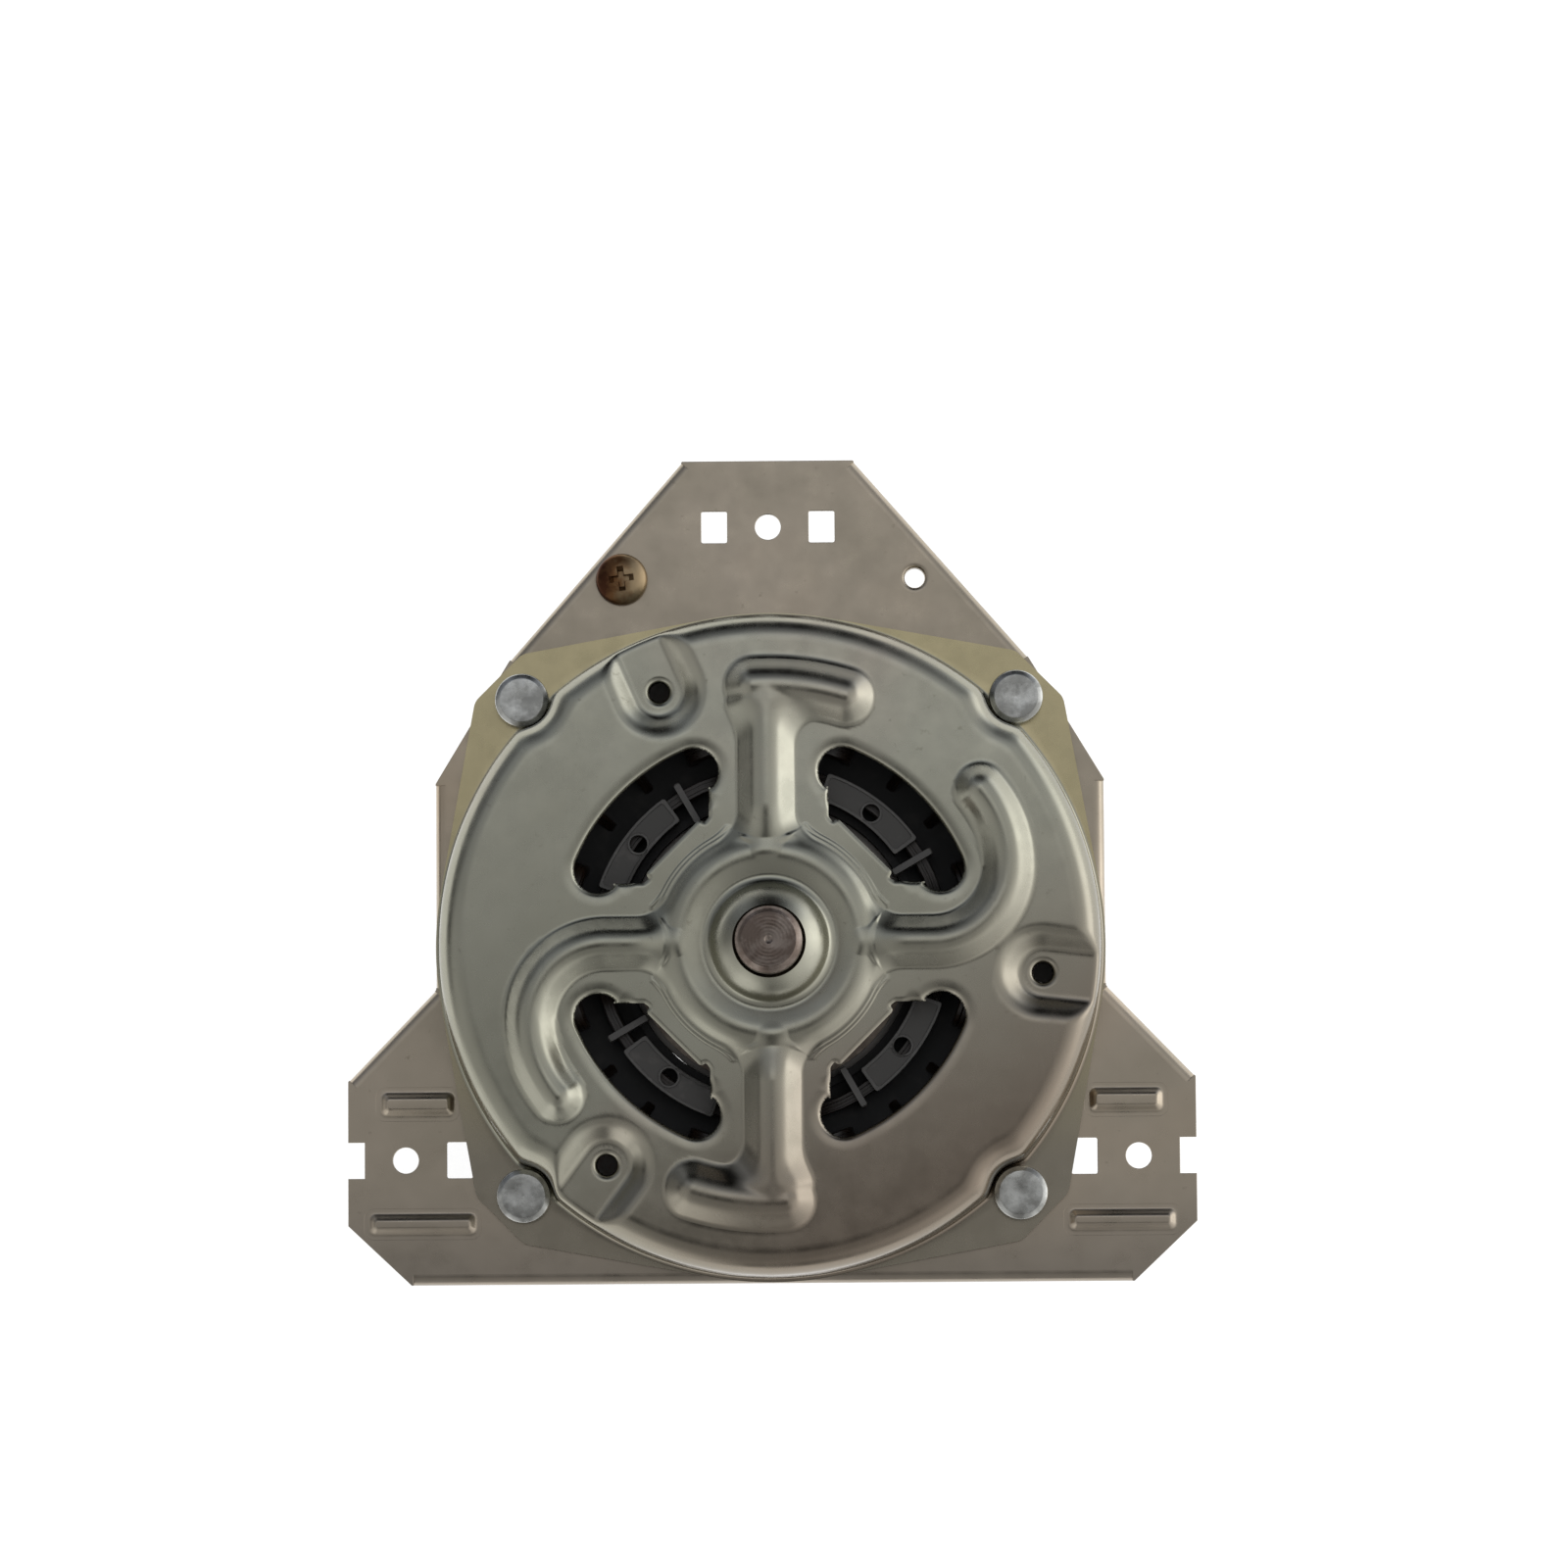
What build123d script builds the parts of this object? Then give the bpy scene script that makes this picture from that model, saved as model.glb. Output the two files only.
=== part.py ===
from build123d import *
import math
import os

# Wash motor of a twin-tub washing machine, in millimetres. Two pressed end caps and four through
# bolts clamp a triangular mounting plate onto a square four-pole stator.
# Z is the shaft axis. The origin is the centre of the three mounting holes, on the upper face of
# the plate. +Z points to the end cap that the photograph shows and the drive end points down.

# Sheet metal and general values
PLATE_SHEET = 1.5
CAP_SHEET = 1.2
OVERRUN = 5.0
SEAT_GAP = 0.3

# Mounting holes of the plate, on an equilateral triangle
MOUNT_SPACING = 155.0
MOUNT_HOLE_RADIUS = 2.75

# Through bolts, on a square
BOLT_PITCH = 104.8
BOLT_RADIUS = 3.0
BOLT_HOLE_CLEARANCE = 0.3
BOLT_HEAD_RADIUS = 5.7
BOLT_HEAD_HEIGHT = 3.6
BOLT_HEAD_EDGE = 0.7
BOLT_END_LENGTH = 2.5
THREAD_FIT = 0.05
WASHER_RADIUS = 5.1
WASHER_THICKNESS = 1.4
WASHER_SPLIT = 0.9
NUT_ACROSS_FLATS = 10.0
NUT_HEIGHT = 5.0

# Stator stack
STACK_LENGTH = 32.0
STATOR_EDGE_MARGIN = 7.6
STATOR_CORNER_SETBACK = 0.6
BORE_RADIUS = 31.0
SLOT_COUNT = 24
SLOT_MOUTH_WIDTH = 2.4
TOOTH_TIP_THICKNESS = 1.6
TOOTH_TIP_SLOPE = 1.4
TOOTH_WIDTH = 5.2
SLOT_DEPTH = 17.0
SLOT_CORNER = 1.8
WELD_GROOVE_RADIUS = 1.6

# Rotor and shaft
AIR_GAP = 0.4
SHAFT_RADIUS = 7.0
SHAFT_SEAT_RADIUS = 8.0
SHAFT_TOP = 33.5
SHAFT_CHAMFER = 1.2
DRIVE_RADIUS = 6.0
DRIVE_LENGTH = 34.0
DRIVE_FLAT_DEPTH = 1.0
CAGE_BARS = 22
CAGE_BAR_LENGTH = 5.0
CAGE_BAR_WIDTH = 2.6
CAGE_BAR_DEPTH = 1.2
CAGE_RING_WIDTH = 8.0
CAGE_RING_HEIGHT = 4.0
CAGE_BLADES = 11
CAGE_BLADE_THICKNESS = 1.4
CAGE_BLADE_HEIGHT = 3.0
CAGE_BLADE_LENGTH = 6.0
PRESS_FIT = 0.02
THRUST_WASHER_THICKNESS = 0.9
THRUST_WASHER_WIDTH = 4.0
CIRCLIP_THICKNESS = 0.9
CIRCLIP_WIDTH = 1.8
CIRCLIP_OPENING = 5.0
CIRCLIP_GROOVE_DEPTH = 0.5

# End cap pressing: heights are above the underside of its flange
FLANGE_RIM = 0.9
EAR_REACH = 7.2
EAR_HALF_WIDTH = 7.1
DOME_INSET = 4.1
DOME_RISE = 20.0
DOME_DRAFT = 3.0
DOME_CORNER_RADIUS = 4.0
DOME_CORNER_SHARE = 0.9
SCALLOP_RADIUS = 6.2

# Hub of the cap with its ball seat for the bearing bush
HUB_FOOT_RADIUS = 23.7
HUB_FLANK_ANGLE = 37.5
HUB_DISH_ANGLE = 22.5
HUB_CREASE_RADIUS = 13.05
HUB_CREASE_HEIGHT = 21.0
BUSH_SEAT_RADIUS = 15.0
HUB_HOLE_RADIUS = 7.65

# Stiffening ribs of the cap
RIB_WIDTH = 12.2
RIB_HEIGHT = 3.6
RIB_FLANK_RUN = 4.6
RIB_START_RADIUS = 18.0
BAR_RADIUS = 53.9
BAR_START_ANGLE = 72.5
BAR_SWEEP = 20.7
HOOK_STRAIGHT = 34.0
HOOK_BEND_RADIUS = 16.0
HOOK_CURL_RADIUS = 24.5
HOOK_CURL_SWEEP = 40.0
HOOK_WIDTH = 11.0

# Kidney windows of the cap, one in each quarter
WINDOW_OUTER_RADIUS = 43.9
WINDOW_LOBE_RADIUS = 4.95
WINDOW_LOBE_OFFSET = 15.4
WINDOW_SIDE_OFFSET = 12.5
WINDOW_SIDE_END = 26.2
WINDOW_NOTCH = (13.4, 25.0)
WINDOW_EDGE_END = (14.4, 25.8)

# Screw dimples of the cap
DIMPLE_CIRCLE_DIAMETER = 115.0
DIMPLE_FIRST_ANGLE = -6.6
DIMPLE_COUNT = 3
DIMPLE_TOP_RADIUS = 9.2
DIMPLE_FLOOR_RADIUS = 5.9
DIMPLE_DEPTH = 3.5
DIMPLE_HOLE_RADIUS = 2.05
DIMPLE_COLLAR_WALL = 1.2
DIMPLE_COLLAR_DEPTH = 2.0

# Bearings
BUSH_SEAT_GAP = 0.1
BUSH_LENGTH = 16.0
BUSH_RUNNING_FIT = 0.03
BUSH_BANDS = 6
RETAINER_SHEET = 0.8
RETAINER_FLANGE_RADIUS = 27.5
RETAINER_FLANGE_WIDTH = 6.0
RETAINER_HUG_DROP = 3.2
RETAINER_HUG_GAP = 0.35
RETAINER_FINGERS = 6
RETAINER_SLOT_WIDTH = 2.4
FELT_WIDTH = 5.2

# Slot insulators and windings, heights above the end of the stack
INSULATOR_WALL = 1.1
INSULATOR_FACE = 0.8
INSULATOR_FACE_RADIUS = 54.0
PAD_INNER_RADIUS = 31.4
PAD_OUTER_RADIUS = 39.2
PAD_TOP = 9.5
PAD_THICKNESS = 1.4
PAD_START_ANGLE = 35.5
PAD_SWEEP = 44.5
PAD_HOLE_RADIUS = 1.8
PAD_HOLE_CIRCLE = 34.9
PAD_HOLE_ANGLE = 51.6
PAD_RIB_ANGLE = 29.5
PAD_RIB_WIDTH = 1.3
PAD_RIB_REACH = 40.0
POLES = 4
MAIN_LEG_RADII = (41.2, 46.8)
MAIN_LEG_WIDTH = 4.4
OUTER_COIL_RADII = (46.6, 53.0)
INNER_COIL_RADII = (41.2, 45.8)
AUXILIARY_RADII = (34.4, 38.6)
AUXILIARY_LEG_WIDTH = 2.6
COIL_GAP = 0.4
MAIN_COIL_HEIGHT = 13.0
AUXILIARY_COIL_HEIGHT = 7.2
WEDGE_WIDTH = 2.9
WEDGE_THICKNESS = 0.6

# Plate outline, symmetric about Y, each place measured from what the plate carries there
PLATE_TOP_MARGIN = 14.15
PLATE_TOP_HALF_WIDTH = 18.2
SHOULDER_MARGIN = (2.9, 8.7)
WAIST_HALF_WIDTH = 71.0
WAIST_TOP = 35.1
WAIST_BOTTOM = -8.7
FOOT_SIDE_MARGIN = 12.2
FOOT_TOP_MARGIN = 16.7
FOOT_BOTTOM_MARGIN = 13.8
BOTTOM_MARGIN = 26.4
FOOT_CHAMFER = 13.4
PLATE_OPENING_RADIUS = 61.0

# Lips bent down along the plate's straight edges
LIP_DEPTH = 8.0
LIP_BEND_RADIUS = 2.0
LIP_END_RELIEF = 3.0

# Windows, notches and beads beside the mounting holes
LUG_OFFSET = 11.45
LUG_WIDTH = 5.5
TOP_LUG_HEIGHT = 6.8
SIDE_LUG_HEIGHT = 7.6
NOTCH_OFFSET = 8.7
BEAD_HEIGHT = 1.5
BEAD_FLANK_RUN = 1.3
UPPER_BEAD_RISE = 11.84
UPPER_BEAD_WIDTH = 5.2
UPPER_BEAD_ENDS = (-7.8, 2.7)
LOWER_BEAD_DROP = 13.46
LOWER_BEAD_WIDTH = 4.6
LOWER_BEAD_END = 12.7

# Earth screw and its empty twin hole
EARTH_OFFSET = 31.2
EARTH_DROP = 11.1
EARTH_SCREW_RADIUS = 2.5
EARTH_TAP_RADIUS = 2.15
EARTH_COLLAR_WALL = 1.1
EARTH_COLLAR_DEPTH = 1.8
SCREW_HEAD_RADIUS = 5.5
SCREW_HEAD_HEIGHT = 3.2
SCREW_HEAD_EDGE = 1.6
SCREW_LENGTH = 8.0
RECESS_LENGTH = 5.6
RECESS_WIDTH = 1.1
RECESS_DEPTH = 1.6

# Lead grommet in the wall of the lower cap and the thermal cutout on the winding
GROMMET_ANGLE = 90.0
GROMMET_HEIGHT_SHARE = 0.5
GROMMET_HOLE_RADIUS = 5.0
GROMMET_FIT = 0.1
GROMMET_FLANGE_RADIUS = 6.8
GROMMET_FLANGE_THICKNESS = 1.6
GROMMET_GROOVE_GAP = 0.45
GROMMET_NOSE_LENGTH = 5.0
GROMMET_NOSE_RADIUS = 4.4
GROMMET_BORE_RADIUS = 3.0
CUTOUT_LENGTH = 16.0
CUTOUT_WIDTH = 6.4
CUTOUT_THICKNESS = 3.6
CUTOUT_EDGE = 1.0
CUTOUT_ANGLE = 180.0

# Places worked out from the sizes above
MOUNT_CIRCLE_RADIUS = MOUNT_SPACING / math.sqrt(3)
MOUNT_LOW = -MOUNT_CIRCLE_RADIUS / 2
BOLT_CIRCLE_RADIUS = BOLT_PITCH / math.sqrt(2)
EAR_DISTANCE = BOLT_CIRCLE_RADIUS + EAR_REACH
DOME_BASE_RADIUS = BOLT_CIRCLE_RADIUS - DOME_INSET
FLANGE_RADIUS = DOME_BASE_RADIUS + FLANGE_RIM
STACK_TOP = -PLATE_SHEET
STACK_BOTTOM = STACK_TOP - STACK_LENGTH
DIMPLE_RADIUS = DIMPLE_CIRCLE_DIAMETER / 2
DIMPLE_FLOOR = DOME_RISE - DIMPLE_DEPTH
SEAT_CENTRE = HUB_CREASE_HEIGHT - math.sqrt(BUSH_SEAT_RADIUS**2 - HUB_CREASE_RADIUS**2)
BUSH_BALL_RADIUS = BUSH_SEAT_RADIUS - CAP_SHEET - BUSH_SEAT_GAP
BUSH_FACE = SEAT_CENTRE - BUSH_LENGTH / 2
DRIVE_SHOULDER = STACK_BOTTOM - SEAT_CENTRE - BUSH_SEAT_RADIUS
SHAFT_BOTTOM = DRIVE_SHOULDER - DRIVE_LENGTH
SLOT_STEP = 360 / SLOT_COUNT
POLE_STEP = 360 / POLES
MAIN_SPAN_SLOTS = 2.5
INNER_SPAN_SLOTS = 1.5
ROTOR_RADIUS = BORE_RADIUS - AIR_GAP

NODES = {}


def turned(outline):
    """A closed outline of (radius, height) points turned once about the Z axis."""
    return revolve(Plane.XZ * make_face(Polyline(*outline, close=True)), Axis.Z)


def sector(outline, start, sweep):
    """The same outline turned through part of a circle from a start angle."""
    face = Plane.XZ * make_face(Polyline(*outline, close=True))
    return revolve(Rot(0, 0, start) * face, Axis.Z, sweep)


def tube(inner, outer, low, high):
    """A plain ring about the Z axis."""
    return turned([(inner, low), (outer, low), (outer, high), (inner, high)])


def prism(outline, low, high):
    """A closed outline of (x, y) points between two heights."""
    return extrude(Pos(0, 0, low) * make_face(Polyline(*outline, close=True)), high - low)


def drilled(part, places, radius):
    """The part with round holes through its whole height."""
    box = part.bounding_box()
    height = box.size.Z + 2 * OVERRUN
    for x, y in places:
        part -= Pos(x, y, box.center().Z) * Cylinder(radius, height)
    return part


def square_places(pitch):
    """The four corners of a square about the axis."""
    return [(sx * pitch / 2, sy * pitch / 2) for sx in (-1, 1) for sy in (-1, 1)]


def polar_place(radius, angle):
    """A point at a radius and an angle in degrees."""
    return radius * math.cos(math.radians(angle)), radius * math.sin(math.radians(angle))


def mitre(rise, run):
    """How far a sloped edge moves sideways for each unit that its surface moves inward."""
    return (math.hypot(rise, run) - run) / rise


def at_lower(part):
    """A piece of the upper end turned over about Y and set under the stack."""
    return Pos(0, 0, STACK_BOTTOM) * Rot(0, 180, 0) * part


def keep(name, part, *more):
    """Store the solids of one named node."""
    solids = part.solids()
    for extra in more:
        solids += extra.solids()
    NODES[name] = Compound(children=[Solid(solid.wrapped) for solid in solids], label=name)


# Ridges: pressed ribs and beads with sloped flanks, as one section run along lines and arcs


def ridge_section(width, height, flank_run, base, sheet, inset):
    """Half section of a ridge, (across, height) points, moved inward by inset."""
    half = width / 2 - inset * mitre(height, flank_run)
    low = base - inset
    return [(half, low - sheet / 2), (half, low), (half - flank_run, low + height)]


def ridge_run(start, end, section):
    """A straight stretch of ridge between two (x, y) points."""
    direction = Vector(*end) - Vector(*start)
    across = Vector(0, 0, 1).cross(direction)
    plane = Plane(origin=(start[0], start[1], 0), x_dir=across, z_dir=direction)
    outline = section + [(-x, z) for x, z in reversed(section)]
    return extrude(plane * make_face(Polyline(*outline, close=True)), direction.length)


def ridge_arc(centre, radius, start, sweep, section):
    """A curved stretch of ridge about a centre."""
    outline = section + [(-x, z) for x, z in reversed(section)]
    points = [(radius + x, z) for x, z in outline]
    return Pos(*centre) * sector(points, start, sweep)


def ridge_end(place, section):
    """The round end of a ridge."""
    low = section[0][1]
    high = section[-1][1]
    return Pos(*place) * turned(section + [(0, high), (0, low)])


# End cap pressing


def flange_face():
    """The flange outline: a disc with a straight-ended ear at each bolt."""
    ear_corner = math.hypot(EAR_DISTANCE, EAR_HALF_WIDTH)
    half_angle = math.degrees(math.atan2(EAR_HALF_WIDTH, EAR_DISTANCE))
    tangent_angle = math.degrees(math.acos(FLANGE_RADIUS / ear_corner)) + half_angle
    ear = [(0, 0), polar_place(FLANGE_RADIUS, -tangent_angle), (EAR_DISTANCE, -EAR_HALF_WIDTH)]
    ear += [(EAR_DISTANCE, EAR_HALF_WIDTH), polar_place(FLANGE_RADIUS, tangent_angle)]
    face = Circle(FLANGE_RADIUS)
    for quarter in range(POLES):
        face += Rot(0, 0, 45 + 90 * quarter) * make_face(Polyline(*ear, close=True))
    return face


def dome_form(inset):
    """The dome as a filled shape, with a bite around each bolt."""
    rise = DOME_RISE - CAP_SHEET
    run = rise * math.tan(math.radians(DOME_DRAFT))
    foot = DOME_BASE_RADIUS - inset * mitre(rise, run)
    low = CAP_SHEET - inset
    top = DOME_RISE - inset
    outline = [(0, low - CAP_SHEET), (foot, low - CAP_SHEET), (foot, low), (foot - run, top), (0, top)]
    dome = turned(outline)
    rim = dome.edges().sort_by(Axis.Z)[-1]
    corner = DOME_CORNER_RADIUS - inset
    dome = chamfer(rim, corner * DOME_CORNER_SHARE) if inset else fillet(rim, corner)
    return drilled(dome, square_places(BOLT_PITCH), SCALLOP_RADIUS + inset)


def hub_form(inset):
    """The raised hub: a flank, a shallow dish and the ball seat that bulges out of it."""
    flank = math.tan(math.radians(HUB_FLANK_ANGLE))
    slope = math.tan(math.radians(HUB_DISH_ANGLE))
    foot = HUB_FOOT_RADIUS - inset * mitre(1, flank)
    low = DOME_RISE - inset
    axis_height = HUB_CREASE_HEIGHT - HUB_CREASE_RADIUS * slope - inset * math.hypot(1, slope)
    rim = (foot + flank * (low - axis_height)) / (1 + flank * slope)
    root = low - CAP_SHEET / 2
    outline = [(0, root), (foot, root), (foot, low), (rim, axis_height + slope * rim), (0, axis_height)]
    if axis_height < root:
        outline = [(0, axis_height), (foot, axis_height)] + outline[2:4]
    seat = Pos(0, 0, SEAT_CENTRE) * Sphere(BUSH_SEAT_RADIUS - inset)
    return turned(outline) + seat


def rib_form(inset):
    """The four ribs: two end in bars along the rim, two curl into hooks."""
    wide = ridge_section(RIB_WIDTH, RIB_HEIGHT, RIB_FLANK_RUN, DOME_RISE, CAP_SHEET, inset)
    slim = ridge_section(HOOK_WIDTH, RIB_HEIGHT, RIB_FLANK_RUN, DOME_RISE, CAP_SHEET, inset)
    ribs = ridge_run((0, RIB_START_RADIUS), (0, BAR_RADIUS), wide)
    ribs += ridge_arc((0, 0), BAR_RADIUS, BAR_START_ANGLE, BAR_SWEEP, wide)
    for angle in (BAR_START_ANGLE, BAR_START_ANGLE + BAR_SWEEP):
        ribs += ridge_end(polar_place(BAR_RADIUS, angle), wide)
    bend_centre = (HOOK_STRAIGHT, HOOK_BEND_RADIUS)
    curl_centre = (HOOK_STRAIGHT + HOOK_BEND_RADIUS - HOOK_CURL_RADIUS, HOOK_BEND_RADIUS)
    tip_x, tip_y = polar_place(HOOK_CURL_RADIUS, HOOK_CURL_SWEEP)
    ribs += ridge_run((RIB_START_RADIUS, 0), (HOOK_STRAIGHT, 0), slim)
    ribs += ridge_arc(bend_centre, HOOK_BEND_RADIUS, -90, 90, slim)
    ribs += ridge_arc(curl_centre, HOOK_CURL_RADIUS, 0, HOOK_CURL_SWEEP, slim)
    ribs += ridge_end((curl_centre[0] + tip_x, curl_centre[1] + tip_y), slim)
    return ribs + Rot(0, 0, 180) * ribs


def dimple_form(inset):
    """A screw dimple on the X axis, open outward, as the shape it takes away."""
    run = DIMPLE_TOP_RADIUS - DIMPLE_FLOOR_RADIUS
    growth = inset * mitre(DIMPLE_DEPTH, run)
    floor = DIMPLE_FLOOR_RADIUS + growth
    top = DIMPLE_TOP_RADIUS + growth
    low = DIMPLE_FLOOR - inset
    high = DOME_RISE - inset
    half = [(floor, low), (top, high), (top, high + OVERRUN)]
    bowl = turned(half + [(0, high + OVERRUN), (0, low)])
    reach = DOME_BASE_RADIUS + OVERRUN - DIMPLE_RADIUS
    return Pos(DIMPLE_RADIUS, 0) * (bowl + ridge_run((0, 0), (reach, 0), half))


def window_face():
    """One kidney window in the first quarter, symmetric about the 45 degree line."""
    lobe_far = math.sqrt((WINDOW_OUTER_RADIUS - WINDOW_LOBE_RADIUS) ** 2 - WINDOW_LOBE_OFFSET**2)
    lobe = Vector(WINDOW_LOBE_OFFSET, lobe_far)
    lobe_angle = math.degrees(math.atan2(lobe_far, WINDOW_LOBE_OFFSET))
    side_x = WINDOW_SIDE_OFFSET
    side_y = lobe_far - math.sqrt(WINDOW_LOBE_RADIUS**2 - (WINDOW_LOBE_OFFSET - side_x) ** 2)
    tangent = Vector(*polar_place(WINDOW_OUTER_RADIUS, lobe_angle))
    middle = lobe + Vector(*polar_place(WINDOW_LOBE_RADIUS, 180 - lobe_angle / 2))
    mirrored = [Vector(p.Y, p.X) for p in (tangent, middle, Vector(side_x, side_y))]
    edges = [ThreePointArc(tangent, Vector(*polar_place(WINDOW_OUTER_RADIUS, 45)), mirrored[0])]
    edges.append(ThreePointArc(tangent, middle, Vector(side_x, side_y)))
    edges.append(ThreePointArc(*mirrored))
    inner = [(side_x, side_y), (side_x, WINDOW_SIDE_END), WINDOW_NOTCH, WINDOW_EDGE_END]
    edges.append(Polyline(*inner, *[(y, x) for x, y in reversed(inner)]))
    return make_face(edges)


def make_end_cap():
    """One pressed cap with its flange's underside at height zero."""
    outer = extrude(flange_face(), CAP_SHEET) + dome_form(0) + hub_form(0) + rib_form(0)
    inner = dome_form(CAP_SHEET) + hub_form(CAP_SHEET) + rib_form(CAP_SHEET)
    window = extrude(window_face(), DOME_RISE + RIB_HEIGHT)
    holes = [Rot(0, 0, 90 * quarter) * window for quarter in (0, 2)]
    holes += [Rot(0, 0, 90 * quarter) * mirror(window, Plane.XZ) for quarter in (0, 2)]
    cap = outer
    for index in range(DIMPLE_COUNT):
        turn = Rot(0, 0, DIMPLE_FIRST_ANGLE + index * 360 / DIMPLE_COUNT)
        cap -= turn * dimple_form(0)
        inner -= turn * dimple_form(CAP_SHEET)
    cap -= inner
    for hole in holes:
        cap -= hole
    collar_radius = DIMPLE_HOLE_RADIUS + DIMPLE_COLLAR_WALL
    collar_low = DIMPLE_FLOOR - CAP_SHEET - DIMPLE_COLLAR_DEPTH
    for x, y in dimple_places():
        cap += Pos(x, y) * tube(DIMPLE_HOLE_RADIUS, collar_radius, collar_low, DIMPLE_FLOOR)
    cap = drilled(cap, dimple_places(), DIMPLE_HOLE_RADIUS)
    cap = drilled(cap, square_places(BOLT_PITCH), BOLT_RADIUS + BOLT_HOLE_CLEARANCE)
    return drilled(cap, [(0, 0)], HUB_HOLE_RADIUS)


def dimple_places():
    """Centres of the three screw holes of the cap."""
    steps = [DIMPLE_FIRST_ANGLE + index * 360 / DIMPLE_COUNT for index in range(DIMPLE_COUNT)]
    return [polar_place(DIMPLE_RADIUS, angle) for angle in steps]


# Lead grommet, set square to the sloped wall of the lower cap


def grommet_place():
    """The frame at the middle of the wall hole, its Z axis pointing out of the wall."""
    rise = DOME_RISE - CAP_SHEET
    draft = math.radians(DOME_DRAFT)
    height = CAP_SHEET + rise * GROMMET_HEIGHT_SHARE
    radius = DOME_BASE_RADIUS - rise * GROMMET_HEIGHT_SHARE * math.tan(draft)
    outward = (math.cos(draft), 0, math.sin(draft))
    plane = Plane(origin=(radius, 0, height), x_dir=(0, 1, 0), z_dir=outward)
    return Rot(0, 0, GROMMET_ANGLE) * plane.location * Pos(0, 0, -CAP_SHEET / 2)


def make_grommet():
    """Rubber bush with a groove for the sheet and a tapered nose; its leads aren't modelled."""
    groove = GROMMET_HOLE_RADIUS - GROMMET_FIT
    half = CAP_SHEET / 2 + GROMMET_GROOVE_GAP
    rim = half + GROMMET_FLANGE_THICKNESS
    outline = [(GROMMET_BORE_RADIUS, -rim), (GROMMET_FLANGE_RADIUS, -rim)]
    outline += [(GROMMET_FLANGE_RADIUS, -half), (groove, -half), (groove, half)]
    outline += [(GROMMET_FLANGE_RADIUS, half), (GROMMET_FLANGE_RADIUS, rim)]
    outline += [(groove, rim), (GROMMET_NOSE_RADIUS, rim + GROMMET_NOSE_LENGTH)]
    outline += [(GROMMET_BORE_RADIUS, rim + GROMMET_NOSE_LENGTH)]
    return grommet_place() * turned(outline)


def make_lower_cap(cap):
    """The same pressing with a hole in its wall for the leads."""
    hole = grommet_place() * Cylinder(GROMMET_HOLE_RADIUS, CAP_SHEET + OVERRUN)
    return cap - hole


# Bearings


def make_bush():
    """Sintered bearing bush, its ball-shaped outside turned in narrow bands."""
    reach = math.degrees(math.asin(BUSH_LENGTH / 2 / BUSH_BALL_RADIUS))
    angles = [reach * (2 * index / BUSH_BANDS - 1) for index in range(BUSH_BANDS + 1)]
    ball = [polar_place(BUSH_BALL_RADIUS, angle) for angle in angles]
    bore = SHAFT_RADIUS + BUSH_RUNNING_FIT
    outline = [(bore, -BUSH_LENGTH / 2)] + ball + [(bore, BUSH_LENGTH / 2)]
    return Pos(0, 0, SEAT_CENTRE) * turned(outline)


def retainer_lip():
    """Where the retainer's fingers meet the ball: radius and height of their upper edge."""
    height = SEAT_CENTRE - RETAINER_HUG_DROP
    radius = math.sqrt(BUSH_BALL_RADIUS**2 - RETAINER_HUG_DROP**2) + RETAINER_HUG_GAP
    return radius, height


def make_retainer():
    """Spring plate that holds the bush in its seat with a ring of fingers."""
    lip_radius, lip_height = retainer_lip()
    top = DOME_RISE - CAP_SHEET
    knee = RETAINER_FLANGE_RADIUS - RETAINER_FLANGE_WIDTH
    outline = [(RETAINER_FLANGE_RADIUS, top), (knee, top), (lip_radius, lip_height)]
    outline += [(lip_radius, lip_height - RETAINER_SHEET), (knee, top - RETAINER_SHEET)]
    outline += [(RETAINER_FLANGE_RADIUS, top - RETAINER_SHEET)]
    plate = turned(outline)
    length = knee - lip_radius
    height = top - lip_height + OVERRUN
    centre = (lip_radius + knee) / 2 - RETAINER_SHEET
    slot = Pos(centre, 0, (top + lip_height) / 2) * Box(length, RETAINER_SLOT_WIDTH, height)
    for index in range(RETAINER_FINGERS):
        plate -= Rot(0, 0, index * 360 / RETAINER_FINGERS) * slot
    return plate


def make_felt():
    """Oil felt ring packed between the bush, the hub and the retainer."""
    lip_radius, lip_height = retainer_lip()
    top = DOME_RISE - CAP_SHEET - SEAT_GAP
    knee = RETAINER_FLANGE_RADIUS - RETAINER_FLANGE_WIDTH
    slope = (DOME_RISE - CAP_SHEET - lip_height) / (knee - lip_radius)
    inner = BUSH_BALL_RADIUS + SEAT_GAP
    outer = inner + FELT_WIDTH
    clear = SEAT_GAP * math.hypot(1, slope)
    outline = [(radius, lip_height + slope * (radius - lip_radius) + clear) for radius in (inner, outer)]
    return turned(outline + [(outer, top), (inner, top)])


# Stator


def slot_half_width(radius):
    """Half of a slot's width at a radius, between teeth with parallel sides."""
    return radius * math.tan(math.radians(SLOT_STEP / 2)) - TOOTH_WIDTH / 2


def slot_outline():
    """One stator slot on the X axis, with tooth tips at its mouth."""
    neck = BORE_RADIUS + TOOTH_TIP_THICKNESS
    shoulder = neck + TOOTH_TIP_SLOPE
    bottom = BORE_RADIUS + SLOT_DEPTH
    widest = bottom - SLOT_CORNER
    mouth = SLOT_MOUTH_WIDTH / 2
    half = [(BORE_RADIUS - OVERRUN, mouth), (neck, mouth), (shoulder, slot_half_width(shoulder))]
    half += [(widest, slot_half_width(widest)), (bottom, slot_half_width(widest) - SLOT_CORNER)]
    return half + [(x, -y) for x, y in reversed(half)]


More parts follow.
